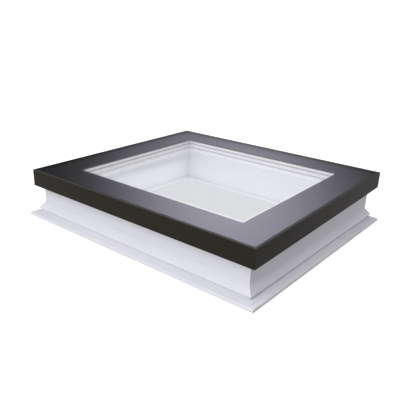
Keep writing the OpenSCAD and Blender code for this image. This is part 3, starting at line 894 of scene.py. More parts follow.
@dataclass(frozen=True)
class CeramicPrint(Finish):
    """Black ceramic print under the glass, with faint clouds from the screen."""

    colour: Colour = (0.006, 0.006, 0.0075)
    thin: Colour = (0.012, 0.012, 0.014)
    thinned: Span = (0.4, 0.8)
    clouds_a_metre: float = 30.0
    mesh_a_metre: float = 1800.0
    roughness: float = 0.5
    mesh_rough: float = 0.1
    sheen: float = 0.1
    relief: float = 0.00001

    def shade(self, tree: NodeTree) -> Wire:
        """Black, thinner in clouds, with the grain of the printing screen.

        Args:
            tree: The nodes of its material.

        Returns:
            The shader.
        """
        place = tree.position()
        clouds = tree.noise(place, self.clouds_a_metre, 3.0)
        mesh = tree.noise(place, self.mesh_a_metre, 1.0)
        return tree.principled(
            {
                "Base Color": tree.mixed(clouds.smooth(*self.thinned), self.colour, self.thin),
                "Roughness": self.roughness + self.mesh_rough * mesh,
                "Specular IOR Level": self.sheen,
                "Normal": tree.bumps(mesh, self.relief),
            }
        )


@dataclass(frozen=True)
class Rubber(Finish):
    """Matt extruded or moulded rubber, foam or sealant."""

    colour: Colour = (0.012, 0.012, 0.013)
    bloom: Colour = (0.028, 0.028, 0.030)
    roughness: float = 0.7
    grain_a_metre: float = 1400.0
    relief: float = 0.00006
    clouds_a_metre: float = 40.0
    cloud_rough: float = 0.16
    bloomed: Span = (0.35, 0.8)

    def shade(self, tree: NodeTree) -> Wire:
        """A base colour with a paler bloom in patches and a fine grain.

        Args:
            tree: The nodes of its material.

        Returns:
            The shader.
        """
        place = tree.position()
        clouds = tree.noise(place, self.clouds_a_metre, 3.0)
        grain = tree.noise(place, self.grain_a_metre, 2.0)
        return tree.principled(
            {
                "Base Color": tree.mixed(clouds.smooth(*self.bloomed), self.colour, self.bloom),
                "Roughness": self.roughness + self.cloud_rough * (clouds - 0.5),
                "Normal": tree.bumps(grain, self.relief),
            }
        )


@dataclass(frozen=True)
class BareMetal(Finish):
    """Plated, anodised or oiled metal with lines along one axis and patches of shine."""

    colour: Colour = (0.66, 0.67, 0.70)
    stain: Colour = (0.55, 0.55, 0.52)
    roughness: float = 0.3
    lines_a_metre: Triple = (40.0, 900.0, 900.0)
    patches_a_metre: float = 120.0
    stained: tuple[float, ...] = (0.45, 0.8, 0.0, 0.7)
    line_rough: float = 0.1
    patch_rough: float = 0.08
    shine: float = 0.06
    relief: float = 0.00002

    def shade(self, tree: NodeTree) -> Wire:
        """Metal with stains in its colour and its lines in roughness and relief.

        Args:
            tree: The nodes of its material.

        Returns:
            The shader.
        """
        place = tree.position()
        lines = tree.noise(tree.stretched(place, self.lines_a_metre), 1.0, 2.0)
        patches = tree.noise(place, self.patches_a_metre, 3.0)
        rough = self.roughness - self.shine + self.line_rough * lines + self.patch_rough * patches
        return tree.principled(
            {
                "Base Color": tree.mixed(patches.smooth(*self.stained), self.colour, self.stain),
                "Metallic": 1.0,
                "Roughness": rough,
                "Normal": tree.bumps(lines, self.relief),
            }
        )


class Slot(Enum):
    """The record's material slots, each with the finish that dresses it.

    Rubber takes a colour, a bloom, a roughness, a grain and a relief, and BareMetal a colour,
    a stain and a roughness.
    """

    PVC = WhitePvc("pvc")
    CLADDING = PowderCoat("cladding")
    GLASS = ClearGlass("glass")
    BORDER = CeramicPrint("border")
    EPDM = Rubber("epdm")
    SEALANT = Rubber("sealant", (0.70, 0.70, 0.73), (0.74, 0.74, 0.77), 0.5, 500.0)
    BLOCK = Rubber("block", (0.035, 0.035, 0.040), (0.055, 0.055, 0.060), 0.55)
    FOAM = Rubber("foam", (0.66, 0.67, 0.65), (0.74, 0.74, 0.72), 0.9, 700.0, 0.0003)
    SPACER = Rubber("spacer", (0.56, 0.56, 0.60), (0.59, 0.59, 0.63), 0.5, 900.0)
    CAP = Rubber("cap", (0.022, 0.022, 0.024), (0.032, 0.032, 0.034), 0.5, 900.0)
    MOTOR = Rubber("motor", (0.045, 0.045, 0.05), (0.06, 0.06, 0.065), 0.4, 1200.0)
    HOUSING = BareMetal("housing", (0.70, 0.71, 0.73), (0.66, 0.67, 0.69), 0.38)
    CHAIN_STEEL = BareMetal("chain_steel", (0.50, 0.50, 0.51), (0.36, 0.34, 0.31), 0.34)
    ZINC = BareMetal("zinc", (0.66, 0.67, 0.70), (0.62, 0.60, 0.52), 0.3)


class Wardrobe:
    """The built materials, one for each slot, which dress the pieces and the CAD nodes."""

    def __init__(self) -> None:
        """Builds them all."""
        self.made = {slot: slot.value.material() for slot in Slot}

    def piece(
        self,
        name: str,
        surface: Surface,
        slot: Slot,
        body: str,
        stands_for: str,
        sharp_deg: float = 35.0,
    ) -> bpy.types.Object:
        """Turns a surface into a finished piece of the part.

        Args:
            name: Name of the piece.
            surface: Its surface, in millimetres, in the row's frame.
            slot: Its material slot, which also gives its finish.
            body: CAD body it moves with, or "" for a piece that is left without one.
            stands_for: CAD node that it is shown instead of.
            sharp_deg: Angle above which an edge is shaded sharp.

        Returns:
            The object, at the origin, with its vertices in metres.
        """
        surface = surface.outward()
        mesh = as_mesh(name, surface)
        uv = np.zeros((len(mesh.loops), 2), np.float32)
        uv[: surface.quads.size] = surface.uv.reshape(-1, 2) * MM
        mesh.uv_layers.new(name=RUN_MAP).data.foreach_set("uv", uv.ravel())
        mesh.polygons.foreach_set("use_smooth", np.ones(len(mesh.polygons), bool))
        mesh.set_sharp_from_angle(angle=math.radians(sharp_deg))
        mesh.validate()
        mesh.materials.append(self.made[slot])
        obj = in_scene(name, mesh)
        if body:
            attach(obj, body)
        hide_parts(stands_for)
        log.info("%s: %d faces on %s", name, len(mesh.polygons), body or "two bodies")
        return obj

    def dress_cad(self) -> None:
        """Gives each CAD node the finish of its slot in the record."""
        by_name = {slot.value.name: made for slot, made in self.made.items()}
        for part in frame["record"]["subparts"]:
            mesh = frame["nodes"][part["node"]].data
            mesh.materials.clear()
            mesh.materials.append(by_name[part["material_slot"]])


# ---------- Kerb ----------


@dataclass(frozen=True)
class Kerb:
    """The welded PVC kerb with its splay, undercut nose, ledged foot and fixing flange.

    Everything above the datum follows the slope of the glass. hole_in is the distance of the
    fixing holes from the sides, and hole_end how far they stand from the ends of their row.
    """

    neck_in: float = 28.3
    splay_top: float = 54.5
    nose_in: float = 7.5
    nose_h: float = 27.5
    undercut: tuple[Span, ...] = ((13.0, 25.5), (14.0, 19.2))
    groove: tuple[Span, ...] = ((-0.6, 14.9), (-1.2, 13.5), (-2.4, 14.3))
    shoulder: tuple[Span, ...] = ((-12.6, 10.4), (-15.6, 7.6))
    foot_out: float = 16.0
    foot_rim: float = 2.6
    flange_in: float = 122.0
    flange_t: float = 8.0
    well_in: float = 100.0
    step_in: float = 62.15
    top_depth: float = 42.0
    step_depth: float = 56.0
    outside_r: tuple[float, ...] = (0.8, 3.0, 1.0, 1.0, 0.5, 0.3, 0.3, 0.3, 2.0, 1.2, 0.8)
    inside_r: tuple[float, ...] = (0.3, 0.8, 0.8, 1.5, 0.8, 0.4, 0.8)
    datum: float = 60.0
    hole_in: float = 111.0
    hole_end: float = 100.0
    hole_r: float = 3.25
    hole_sides: int = 32
    seal_in: float = 75.0
    seal_end_in: float = 91.0
    seal_foot: float = 1.5
    seal_rim: float = 2.0
    seal_h: float = 5.95
    seal_steps: int = 24

    def profile(self) -> np.ndarray:
        """Outline of the kerb over the middle of the window, from the top down and round.

        Returns:
            Array (n, 2) of insets and heights.
        """
        top, step = SITE.glass_height(self.top_depth), SITE.glass_height(self.step_depth)
        outside = [
            (self.neck_in, top), (self.neck_in, self.splay_top), (self.nose_in, self.nose_h),
            *self.undercut, *self.groove, *self.shoulder, (-self.foot_out, self.foot_rim),
        ]
        inside = [
            (-self.foot_out, 0), (self.flange_in, 0), (self.flange_in, self.flange_t),
            (self.well_in, self.flange_t), (self.well_in, step), (self.step_in, step),
            (self.step_in, top),
        ]
        return rounded(outside + inside, self.outside_r + self.inside_r)

    def hole_cutter(self) -> Surface:
        """Eight upright pins where the fixing holes go, past both faces of the flange.

        Returns:
            The pins as one surface.
        """
        side = np.array([SITE.width / 2 - self.hole_in, SITE.depth / 2 - self.hole_in])
        near_end = side - [0, self.hole_end], side - [self.hole_end, 0]
        rim = circle(self.hole_r, self.hole_sides)
        corners = [np.array([sx, sy]) for sx in (-1, 1) for sy in (-1, 1)]
        places = [corner * place for corner in corners for place in near_end]
        return all_joined(prism(rim + place, -1.0, self.flange_t + 1.0) for place in places)

    def seal_profile(self) -> np.ndarray:
        """Outline of the seal: a thin foot, and a bulb that is half an ellipse on top of it.

        Returns:
            Array (n, 2) of insets and heights.
        """
        base = SITE.glass_height(self.step_depth)
        foot, middle = base + self.seal_foot, (self.seal_in + self.seal_end_in) / 2
        half = (self.seal_end_in - self.seal_in) / 2 - self.seal_rim
        a = np.linspace(0, math.pi, self.seal_steps + 1)
        up = foot + (self.seal_h - self.seal_foot) * np.sin(a)
        bulb = np.stack([middle + half * np.cos(a), up], axis=1)
        edges = [(self.seal_in, foot), (self.seal_in, base), (self.seal_end_in, base),
                 (self.seal_end_in, foot)]
        return np.concatenate([bulb, edges])

    def on_slope(self, profile: np.ndarray) -> Surface:
        """A ring of the profile, with its upper part following the slope of the glass."""
        level = ring(profile)
        return level.moved(SITE.shear(level.verts, self.datum))

    def build(self, wardrobe: Wardrobe) -> None:
        """Makes the kerb, with its fixing holes cut through the flange, and its seal.

        Args:
            wardrobe: What dresses the pieces.
        """
        bulb = self.on_slope(self.seal_profile())
        wardrobe.piece("bulb_seal", bulb, Slot.EPDM, "kerb", "kerb_seal", 50.0)
        body = self.on_slope(self.profile())
        kerb = wardrobe.piece("kerb_profile", body, Slot.PVC, "kerb", "kerb_frame")
        cut_out(kerb, self.hole_cutter())


# ---------- Sash ----------


@dataclass(frozen=True)
class SashFrame:
    """The welded PVC sash under the glass, with the nose that shows inside."""

    outer_in: float = 30.0
    glazed_in: float = 104.0
    ledge_in: float = 118.0
    nose_in: float = 103.5
    sole_in: float = 66.15
    top: float = 11.0
    ledge: float = 46.0
    nose: float = 62.0
    outer_sole: float = 40.0
    inner_sole: float = 50.0
    radii: tuple[float, ...] = (0.5, 0.5, 0.3, 0.8, 3.0, 0.8, 0.3, 0.8, 0.3, 0.8)

    def profile(self) -> np.ndarray:
        """Outline of the sash, with its corners eased.

        Returns:
            Array (n, 2) of insets and heights over the glass.
        """
        corners = [
            (self.outer_in, -self.top), (self.glazed_in, -self.top), (self.glazed_in, -self.ledge),
            (self.ledge_in, -self.ledge), (self.ledge_in, -self.nose), (self.nose_in, -self.nose),
            (self.nose_in, -self.inner_sole), (self.sole_in, -self.inner_sole),
            (self.sole_in, -self.outer_sole), (self.outer_in, -self.outer_sole),
        ]
        return rounded(corners, self.radii)

    def build(self, wardrobe: Wardrobe) -> None:
        """Makes the sash frame."""
        body = ring(self.profile()).tilted()
        wardrobe.piece("sash_profile", body, Slot.PVC, "sash", "sash_frame")


@dataclass(frozen=True)
class Cladding:
    """The four mitred aluminium covers round the glass, and the rubber seam inside them."""

    lip_w: float = 6.0
    lip_r: float = 4.0
    sheet: float = 2.0
    skirt_h: float = 64.0
    hem_w: float = 6.0
    shelf_depth: float = 9.0
    shelf_w: float = 44.0
    mitre_gap: float = 0.12
    seam_w: float = 3.0
    seam_drop: float = 1.0
    seam_hollow: float = 0.5
    edge_r: tuple[float, ...] = (0.5, 0.4, 0.4, 0.4, 0.6, 0.6, 0.4)
    hem_r: Span = (0.4, 1.2)
    arc_steps: int = 8

    def profile(self) -> np.ndarray:
        """Outline of the cover: hem, skirt, rounded lip, and the shelf that carries the glass.

        Returns:
            Array (n, 2) of insets and heights over the glass.
        """
        under = self.shelf_depth + self.sheet
        corners = [
            (self.hem_w + self.sheet, -self.skirt_h), (0, -self.skirt_h), (0, 0), (self.lip_w, 0),
            (self.lip_w, -self.shelf_depth), (self.shelf_w, -self.shelf_depth),
            (self.shelf_w, -under), (self.sheet, -under), (self.sheet, self.sheet - self.skirt_h),
            (self.hem_w + self.sheet, self.sheet - self.skirt_h),
        ]
        return rounded(corners, (*self.hem_r, self.lip_r, *self.edge_r), self.arc_steps)

    def seam_profile(self) -> np.ndarray:
        """Outline of the seam: a strip between lip and glass, hollowed by half a sine on top.

        Returns:
            Array (n, 2) of insets and heights over the glass.
        """
        near, far = self.lip_w, self.lip_w + self.seam_w
        across = np.linspace(0, 1, self.arc_steps + 1)
        hollow = self.seam_hollow * np.sin(across * math.pi)
        top = np.stack([near + across * (far - near), -self.seam_drop - hollow], axis=1)
        return np.concatenate([top, [[far, -self.shelf_depth], [near, -self.shelf_depth]]])

    def build(self, wardrobe: Wardrobe) -> None:
        """Makes the covers and the seam.

        Args:
            wardrobe: What dresses the pieces.
        """
        profile = self.profile()
        for side in Side:
            bar, name = mitred_bar(side, profile, self.mitre_gap).tilted(), side.name.lower()
            wardrobe.piece(f"cover_{name}", bar, Slot.CLADDING, "sash", f"cladding_{name}")
        seam = ring(self.seam_profile()).tilted()
        wardrobe.piece("glass_seam", seam, Slot.EPDM, "sash", "seam_gasket", 60.0)


@dataclass(frozen=True)
class GlassUnit:
    """The stepped triple glass unit: three panes, the printed border and two spacer bars."""

    outer_in: float = 9.0
    inner_in: float = 108.0
    spacer_in: float = 114.0
    spacer_end_in: float = 122.0
    border_in: float = 131.0
    outer: Span = (0.0, 5.97)
    print_depths: Span = (6.03, 6.2)
    middle: Span = (20.0, 24.0)
    inner: Span = (38.0, 44.0)
    arris: float = 0.7
    spacer_r: float = 0.8
    ease: float = 0.03

    def pane(self, wardrobe: Wardrobe, name: str, node: str, inset: float, depths: Span) -> None:
        """Makes one pane, which casts no shadow.

        Args:
            wardrobe: What dresses the piece.
            name: Name of the piece.
            node: CAD node that it is shown instead of.
            inset: Distance of its edge from the cladding's outer face.
            depths: Depths of its upper and its lower face.
        """
        plate = slab(inset, *depths, self.arris).tilted()
        made = wardrobe.piece(name, plate, Slot.GLASS, "sash", node, 20.0)
        made.visible_shadow = False
        made.visible_diffuse = False

    def build(self, wardrobe: Wardrobe) -> None:
        """Makes the panes, the print and the spacers.

        Args:
            wardrobe: What dresses the pieces.
        """
        self.pane(wardrobe, "outer_glass", "outer_pane", self.outer_in, self.outer)
        for name, (top, bottom) in (("middle", self.middle), ("inner", self.inner)):
            depths = (top + self.ease, bottom - self.ease)
            self.pane(wardrobe, f"{name}_glass", f"{name}_pane", self.inner_in, depths)
        strip = ring(box_profile(self.outer_in, self.border_in, *self.print_depths, 0.0))
        wardrobe.piece("border_print", strip.tilted(), Slot.BORDER, "sash", "printed_border")
        outer_gap = (self.print_depths[1], self.middle[0])
        inner_gap = (self.middle[1], self.inner[0])
        for name, gap in (("outer", outer_gap), ("inner", inner_gap)):
            bar = ring(box_profile(self.spacer_in, self.spacer_end_in, *gap, self.spacer_r))
            node = f"{name}_spacer"
            wardrobe.piece(f"spacer_bar_{name}", bar.tilted(), Slot.SPACER, "sash", node)


# ---------- Hardware ----------


@dataclass(frozen=True)
class Screw:
    """A countersunk screw with a cross recess and a plain shaft with a point."""

    length: float
    head_r: float = 3.72
    head_h: float = 2.0
    head_rim: float = 0.2
    head_crown: float = 0.12
    head_steps: tuple[float, ...] = (0.05, 0.25, 0.42, 0.6, 0.9, 1.3, 1.7, 1.95, 2.15, 2.6, 3.3)
    shaft_r: float = 1.93
    point_h: float = 1.5
    point_r: Span = (0.3, 0.05)
    recess_r: float = 2.1
    recess_half: float = 0.42
    recess_depth: float = 1.2
    recess_slope: Span = (0.15, 0.3)
    segments: int = 48

    def surface(self) -> Surface:
        """The screw along -Z with its head's top at z = 0.

        A meridian of (radius, height) is turned round Z. The head is crowned by one less the
        square of its share of the radius. Its height drops by the recess depth times how far
        the point lies inside the arms of a cross and inside their ends, each cut to 0 to 1.

        Returns:
            The closed screw.
        """
        head, top = np.array(self.head_steps), self.head_crown
        shaft = np.array([(self.head_r, 0), (self.head_r, -self.head_rim),
                          (self.shaft_r, -self.head_h), (self.shaft_r, self.point_h - self.length),
                          (self.point_r[0], -self.length), (self.point_r[1], -self.length)])
        r = np.concatenate([head, shaft[:, 0]])
        z = np.concatenate([top * (1 - (head / self.head_r) ** 2), shaft[:, 1]])
        a = np.arange(self.segments)[:, None] * math.tau / self.segments
        x, y = r * np.cos(a), r * np.sin(a)
        arm = np.minimum(np.abs(x), np.abs(y))
        wall, end = self.recess_slope
        in_arm = np.clip((self.recess_half - arm) / wall + 0.5, 0, 1)
        in_reach = np.clip((self.recess_r - r) / end, 0, 1) * (np.arange(len(r)) < len(head))
        points = np.stack([x, y, z - self.recess_depth * in_arm * in_reach], axis=-1)
        closed = grid(points, np.zeros((self.segments + 1, len(r), 2)), True, False)
        first = np.arange(self.segments) * len(r)
        closed.caps = [first, (first + len(r) - 1)[::-1]]
        return closed


@dataclass(frozen=True)
class Screws:
    """The countersunk screws that show, in the groups in which the CAD keeps them.

    Three lengths are used: in the hinge leaves and the drive's angles, in the drive's feet,
    and in the chain's plate.
    """

    lengths: Triple = (16.0, 5.5, 12.0)
    hinge_x: float = 300.0
    kerb_leaf_x: float = 47.0
    kerb_leaf_y: float = 424.7
    axis_z: float = 153.184
    sash_leaf_x: float = 35.0
    sash_leaf_in: float = 27.0
    sash_leaf_depth: float = 25.5
    angle_x: float = 188.0
    angle_screw_x: float = 12.0
    angle_y: float = -347.0
    housing_mid: float = 74.271
    housing_under: float = 50.271
    pin_y: float = -324.105
    bracket_x: float = 26.0
    bracket_in: float = 110.75
    bracket_depth: float = 65.0

    def on_sash(self, x: float, y: float, depth: float) -> np.ndarray:
        """A place on the sash, drawn level at a depth below the glass."""
        return SITE.tilt(np.array([x, y, -depth]))

    def in_fours(self, middle: float, apart: float) -> list[float]:
        """Four places along X: on each side of the window, a little either way of a middle."""
        return [a * middle + b * apart for a in (-1, 1) for b in (-1, 1)]

    def build(self, wardrobe: Wardrobe) -> None:
        """Makes the four groups, each screw from a length, a place and the way its head looks.

        Args:
            wardrobe: What dresses the pieces.
        """
        leaf, foot, plate = (Screw(length).surface() for length in self.lengths)
        high, low = SITE.depth / 2 - self.sash_leaf_in, self.bracket_in - SITE.depth / 2
        cos, sin = math.cos(SITE.fall), math.sin(SITE.fall)
        kerb_leaves = [
            placed(leaf, (x, self.kerb_leaf_y, self.axis_z), (0, 1, 0))
            for x in self.in_fours(self.hinge_x, self.kerb_leaf_x)
        ]
        sash_leaves = [
            placed(leaf, self.on_sash(x, high, self.sash_leaf_depth), (0, cos, sin))
            for x in self.in_fours(self.hinge_x, self.sash_leaf_x)
        ]
        drive = [
            placed(leaf, (x, self.angle_y, self.housing_mid), (0, 1, 0))
            for x in self.in_fours(self.angle_x, self.angle_screw_x)
        ]
        drive += [
            placed(foot, (x, self.pin_y, self.housing_under), (0, 0, -1))
            for x in (-self.angle_x, self.angle_x)
        ]
        chain_plate = [
            placed(plate, self.on_sash(x, low, self.bracket_depth), (0, sin, -cos))
            for x in (-self.bracket_x, self.bracket_x)
        ]
        for name, node, body, screws in (
            ("kerb_leaf_screws", "kerb_hinge_screws", "kerb", kerb_leaves),
            ("sash_leaf_screws", "sash_hinge_screws", "sash", sash_leaves),
            ("drive_screws", "actuator_screws", "kerb", drive),
            ("chain_plate_screws", "chain_bracket_screws", "sash", chain_plate),
        ):
            wardrobe.piece(name, all_joined(screws), Slot.ZINC, body, node, 30.0)


@dataclass(frozen=True)
class DriveHousing:
    """The extruded housing of the chain drive, with grooves along it and a slot for the chain."""

    length: float = 420.0
    width: float = 36.0
    height: float = 42.0
    wall: float = 2.5
    floor_z: float = 53.271
    middle_y: float = -324.105
    radius: float = 3.0
    least_r: float = 0.5
    arc_steps: int = 6
    groove: float = 0.8
    groove_inside: float = 0.1
    groove_r: float = 0.05
    groove_edges: tuple[float, ...] = (-9.0, -8.2, -7.0, -6.2, 6.2, 7.0, 8.2, 9.0)
    groove_dips: tuple[float, ...] = (0.0, 1.0, 1.0, 0.0, 0.0, 1.0, 1.0, 0.0)
    slot_x: float = 16.0
    slot_y: float = 20.0
    slot_r: float = 3.0

    def outline(self, inwards: float, depth: float) -> np.ndarray:
        """A rounded rectangle (y, z) about the housing's middle, with two grooves a side.

        Args:
            inwards: Distance inside the outer face.
            depth: How deep the grooves are.

        Returns:
            Array (n, 2), with the same n for every distance and depth.
        """
        half_w, half_h = self.width / 2 - inwards, self.height / 2 - inwards
        side_y = half_w - np.array(self.groove_dips) * depth
        right = list(zip(side_y, self.groove_edges))
        left = list(zip(-side_y[::-1], self.groove_edges[::-1]))
        corners = [(half_w, -half_h), *right, (half_w, half_h), (-half_w, half_h), *left,
                   (-half_w, -half_h)]
        corner = [max(self.radius - inwards, self.least_r)]
        edges = [self.groove_r] * len(right)
        radii = corner + edges + corner * 2 + edges + corner
        middle = [self.middle_y, self.floor_z + self.height / 2]
        return rounded(corners, radii, self.arc_steps) + middle

    def build(self, wardrobe: Wardrobe) -> None:
        """Makes the housing as a tube of an outer and an inner skin, and cuts its slot.

        Args:
            wardrobe: What dresses the pieces.
        """
        outer, inner = self.outline(0.0, self.groove), self.outline(self.wall, self.groove_inside)
        half = self.length / 2
        ends = ((outer, -half), (outer, half), (inner, half), (inner, -half))
        loops = [np.column_stack([np.full(len(path), x), path]) for path, x in ends]
        uv = np.zeros((len(ends) + 1, len(outer) + 1, 2))
        skin = grid(np.stack(loops), uv, True, True).outward()
        node = "actuator_housing"
        housing = wardrobe.piece("drive_housing", skin, Slot.HOUSING, "kerb", node, 30.0)
        x, y, top = self.slot_x / 2, self.slot_y / 2, self.floor_z + self.height
        hole = rounded([(x, y), (-x, y), (-x, -y), (x, -y)], self.slot_r) + [0.0, self.middle_y]
        cut_out(housing, prism(hole, top - 2 * self.wall, top + self.wall))


@dataclass(frozen=True)
class PushChain:
    """The rigid-backed chain: side plates and rollers from the sash's pin down to the drive.

    The sprocket, the pin and the hinge are places on the shut window. stored_end is how far
    along the housing the chain reaches when the window is open.
    """

    pitch: float = 9.184
    sprocket: Triple = (12.0, -324.105, 76.271)
    sprocket_r: float = 12.0
    pin: Triple = (0.0, -324.105, 111.271)
    hinge: Span = (436.058, 153.184)
    open_deg: float = 18.0
    stored_end: float = 196.0
    blend_from: float = 77.5
    blend_to: float = 92.5
    halvings: int = 40
    settled: float = 1e-9
    plate_half: float = 4.0
    plate_spans: tuple[Span, Span] = ((4.3, 5.8), (2.7, 4.2))
    plate_sides: int = 28
    plate_bow: float = 0.8
    plate_past: float = 0.46
    plate_back: float = 1.6
    plate_front: float = 0.9
    roller_r: float = 2.4
    roller_half: float = 2.5
    roller_sides: int = 20
    pin_r: float = 1.5
    pin_fit: float = 0.98
    pin_half: float = 6.0
    pin_sides: int = 16
    eye_r: float = 5.0
    eye_bore_r: float = 3.06
    eye_sides: int = 40
    shank_half: Span = (4.0, 5.9)
    shank_r: float = 1.2
    shank_drops: Span = (3.6, 9.0)

    def swung(self, points: np.ndarray, share: np.ndarray | float) -> np.ndarray:
        """Points turned about the hinge by a share of the opening: a rotation in Y and Z.

        Args:
            points: Array (..., 3).
            share: The share of the opening, or one for each point; upwards when positive.

        Returns:
            Array of the same shape.
        """
        a = math.radians(self.open_deg) * np.asarray(share)
        y, z = points[..., 1] - self.hinge[0], points[..., 2] - self.hinge[1]
        turned = np.stack([y * np.cos(a) + z * np.sin(a) + self.hinge[0],
                           z * np.cos(a) - y * np.sin(a) + self.hinge[1]], axis=-1)
        return np.concatenate([points[..., :1], turned], axis=-1)

    def at_rest(self, opened: np.ndarray) -> np.ndarray:
        """Where points of the open chain lie when the window is shut.

        A point between the blend's two heights turns by a share w of the opening, and w is
        the smooth step of its height at rest. So w solves step(height(w)) = w, where
        height(w) is that of the open point turned back by w. The left side falls and the
        right side rises with w, so halving the range again and again finds it.

        Args:
            opened: Array (n, 3) of the open chain.

        Returns:
            Array (n, 3) of the shut chain.
        """
        low, high = np.zeros(len(opened)), np.ones(len(opened))
        for _ in range(self.halvings):
            middle = (low + high) / 2
            height = self.swung(opened, -middle)[:, 2]
            t = np.clip((height - self.blend_from) / (self.blend_to - self.blend_from), 0, 1)
            more = t * t * (3 - 2 * t) > middle
            low, high = np.where(more, middle, low), np.where(more, high, middle)
        share = np.where(low > 1 - self.settled, 1.0, high)
        return self.swung(opened, -share)

    def path(self, down: np.ndarray) -> tuple[np.ndarray, np.ndarray]:
        """Points of the open chain's centre line and the way to its back.

        Straight from the pin to the side of the sprocket, a quarter turn under it, and
        straight along the housing.

        Args:
            down: Distances from the pin, (k,).

        Returns:
            Points (k, 3) and unit vectors (k, 3) away from the sprocket.
        """
        pin = self.swung(np.array(self.pin), 1.0)
        cx, cy, cz = self.sprocket
        foot = np.array([cx - self.sprocket_r, cy, cz])
        lead = np.linalg.norm(foot - pin)
        quarter = self.sprocket_r * math.pi / 2
        share = np.clip(down / lead, 0, 1)[:, None]
        on_lead = pin + (foot - pin) * share
        a = math.pi + np.clip(down - lead, 0, quarter) / self.sprocket_r
        away = np.stack([np.cos(a), 0 * a, np.sin(a)], axis=1)
        on_turn = np.array(self.sprocket) + away * self.sprocket_r
        past = np.clip(down - lead - quarter, 0, None)
        on_turn = on_turn + np.stack([past, 0 * past, 0 * past], axis=1)
        return np.where((down < lead)[:, None], on_lead, on_turn), away

    def link_template(self, span: Span) -> Surface:
        """Two side plates of one link, along +X with its back towards +Y, pins along Z.

        A plate's outline is a stadium of the pitch's length, cut off past the pins at a share
        of the pitch. Its back is squared off by cutting a steeper sine at the half width.

        Args:
            span: Distances of a plate's two faces from the chain's middle plane.

        Returns:
            Both plates.
        """
        a = np.arange(self.plate_sides) * math.tau / self.plate_sides
        bow = self.plate_bow * self.plate_half * np.cos(a)
        along = self.pitch / 2 * (1 + np.sign(np.cos(a))) + bow
        along = np.clip(along, -self.plate_past * self.pitch, (1 + self.plate_past) * self.pitch)
        back, front = np.minimum(self.plate_back * np.sin(a), 1.0), self.plate_front * np.sin(a)
        across = np.where(np.sin(a) > 0, back, front) * self.plate_half
        flat = np.column_stack([along, across])
        return all_joined(prism(flat, side * span[0], side * span[1]) for side in (-1, 1))

    def pin_template(self) -> Surface:
        """A roller between the plates and a pin through it, along Z.

        Returns:
            Both as one surface.
        """
        wall = tube_wall(self.pin_r, self.roller_r, self.roller_half)
        roller = turned_profile(wall, self.roller_sides)
        rim = circle(self.pin_r * self.pin_fit, self.pin_sides)
        return roller.joined(prism(rim, -self.pin_half, self.pin_half))

    def laid(self, template: Surface, starts: np.ndarray) -> Surface:
        """Copies of a template along the open chain, one from each pitch point to the next.

        The rows of each copy's frame are the chord to the next pitch point, the way to the
        back made square to it, and their cross product.

        Args:
            template: What is repeated, drawn along +X with its back towards +Y.
            starts: Distances from the sash's pin, (k,).

        Returns:
            All the copies.
        """
        here, back = self.path(starts)
        there, _ = self.path(starts + self.pitch)
        along = there - here
        along /= np.linalg.norm(along, axis=1, keepdims=True)
        back = back - along * np.sum(back * along, axis=1, keepdims=True)
        back /= np.linalg.norm(back, axis=1, keepdims=True)
        rows = np.stack([along, back, np.cross(along, back)], axis=1)
        verts = here[:, None] + np.einsum("vi,kij->kvj", template.verts, rows)
        count, size = len(starts), len(template.verts)
        shift = np.arange(count)[:, None, None] * size
        quads = (template.quads[None] + shift).reshape(-1, 4)
        uv = np.broadcast_to(template.uv, (count, *template.uv.shape)).reshape(-1, 4, 2)
        caps = [cap + k * size for k in range(count) for cap in template.caps]
        return Surface(verts.reshape(-1, 3), quads, uv, caps)

    def end_fitting(self) -> Surface:
        """The eye round the sash's pin and the shank below it, where they lie at rest.

        Returns:
            Both as one surface.
        """
        wall = tube_wall(self.eye_bore_r, self.eye_r, self.pin_half)
        eye = placed(turned_profile(wall, self.eye_sides), self.pin, (1, 0, 0))
        x, y = self.shank_half
        outline = rounded([(-x, -y), (x, -y), (x, y), (-x, y)], self.shank_r) + self.pin[:2]
        top, bottom = (self.pin[2] - drop for drop in self.shank_drops)
        return eye.joined(prism(outline, top, bottom))

    def build(self, wardrobe: Wardrobe) -> None:
        """Lays the links along the open chain and takes them back to rest.

        Args:
            wardrobe: What dresses the pieces.
        """
        lead_end = self.swung(np.array(self.pin), 1.0)
        foot = np.array(self.sprocket) - [self.sprocket_r, 0, 0]
        total = np.linalg.norm(lead_end - foot) + self.sprocket_r * math.pi / 2
        total += self.stored_end - self.sprocket[0]
        starts = np.arange(1, int(total / self.pitch) - 1) * self.pitch
        wide, narrow = (self.link_template(span) for span in self.plate_spans)
        runs = ((wide, starts[0::2]), (narrow, starts[1::2]), (self.pin_template(), starts))
        chain = all_joined(self.laid(template, places) for template, places in runs)
        chain = chain.moved(self.at_rest(chain.verts)).joined(self.end_fitting())
        links = wardrobe.piece("chain_links", chain, Slot.CHAIN_STEEL, "", "push_chain", 30.0)
        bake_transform(links)


# ---------- Studio ----------


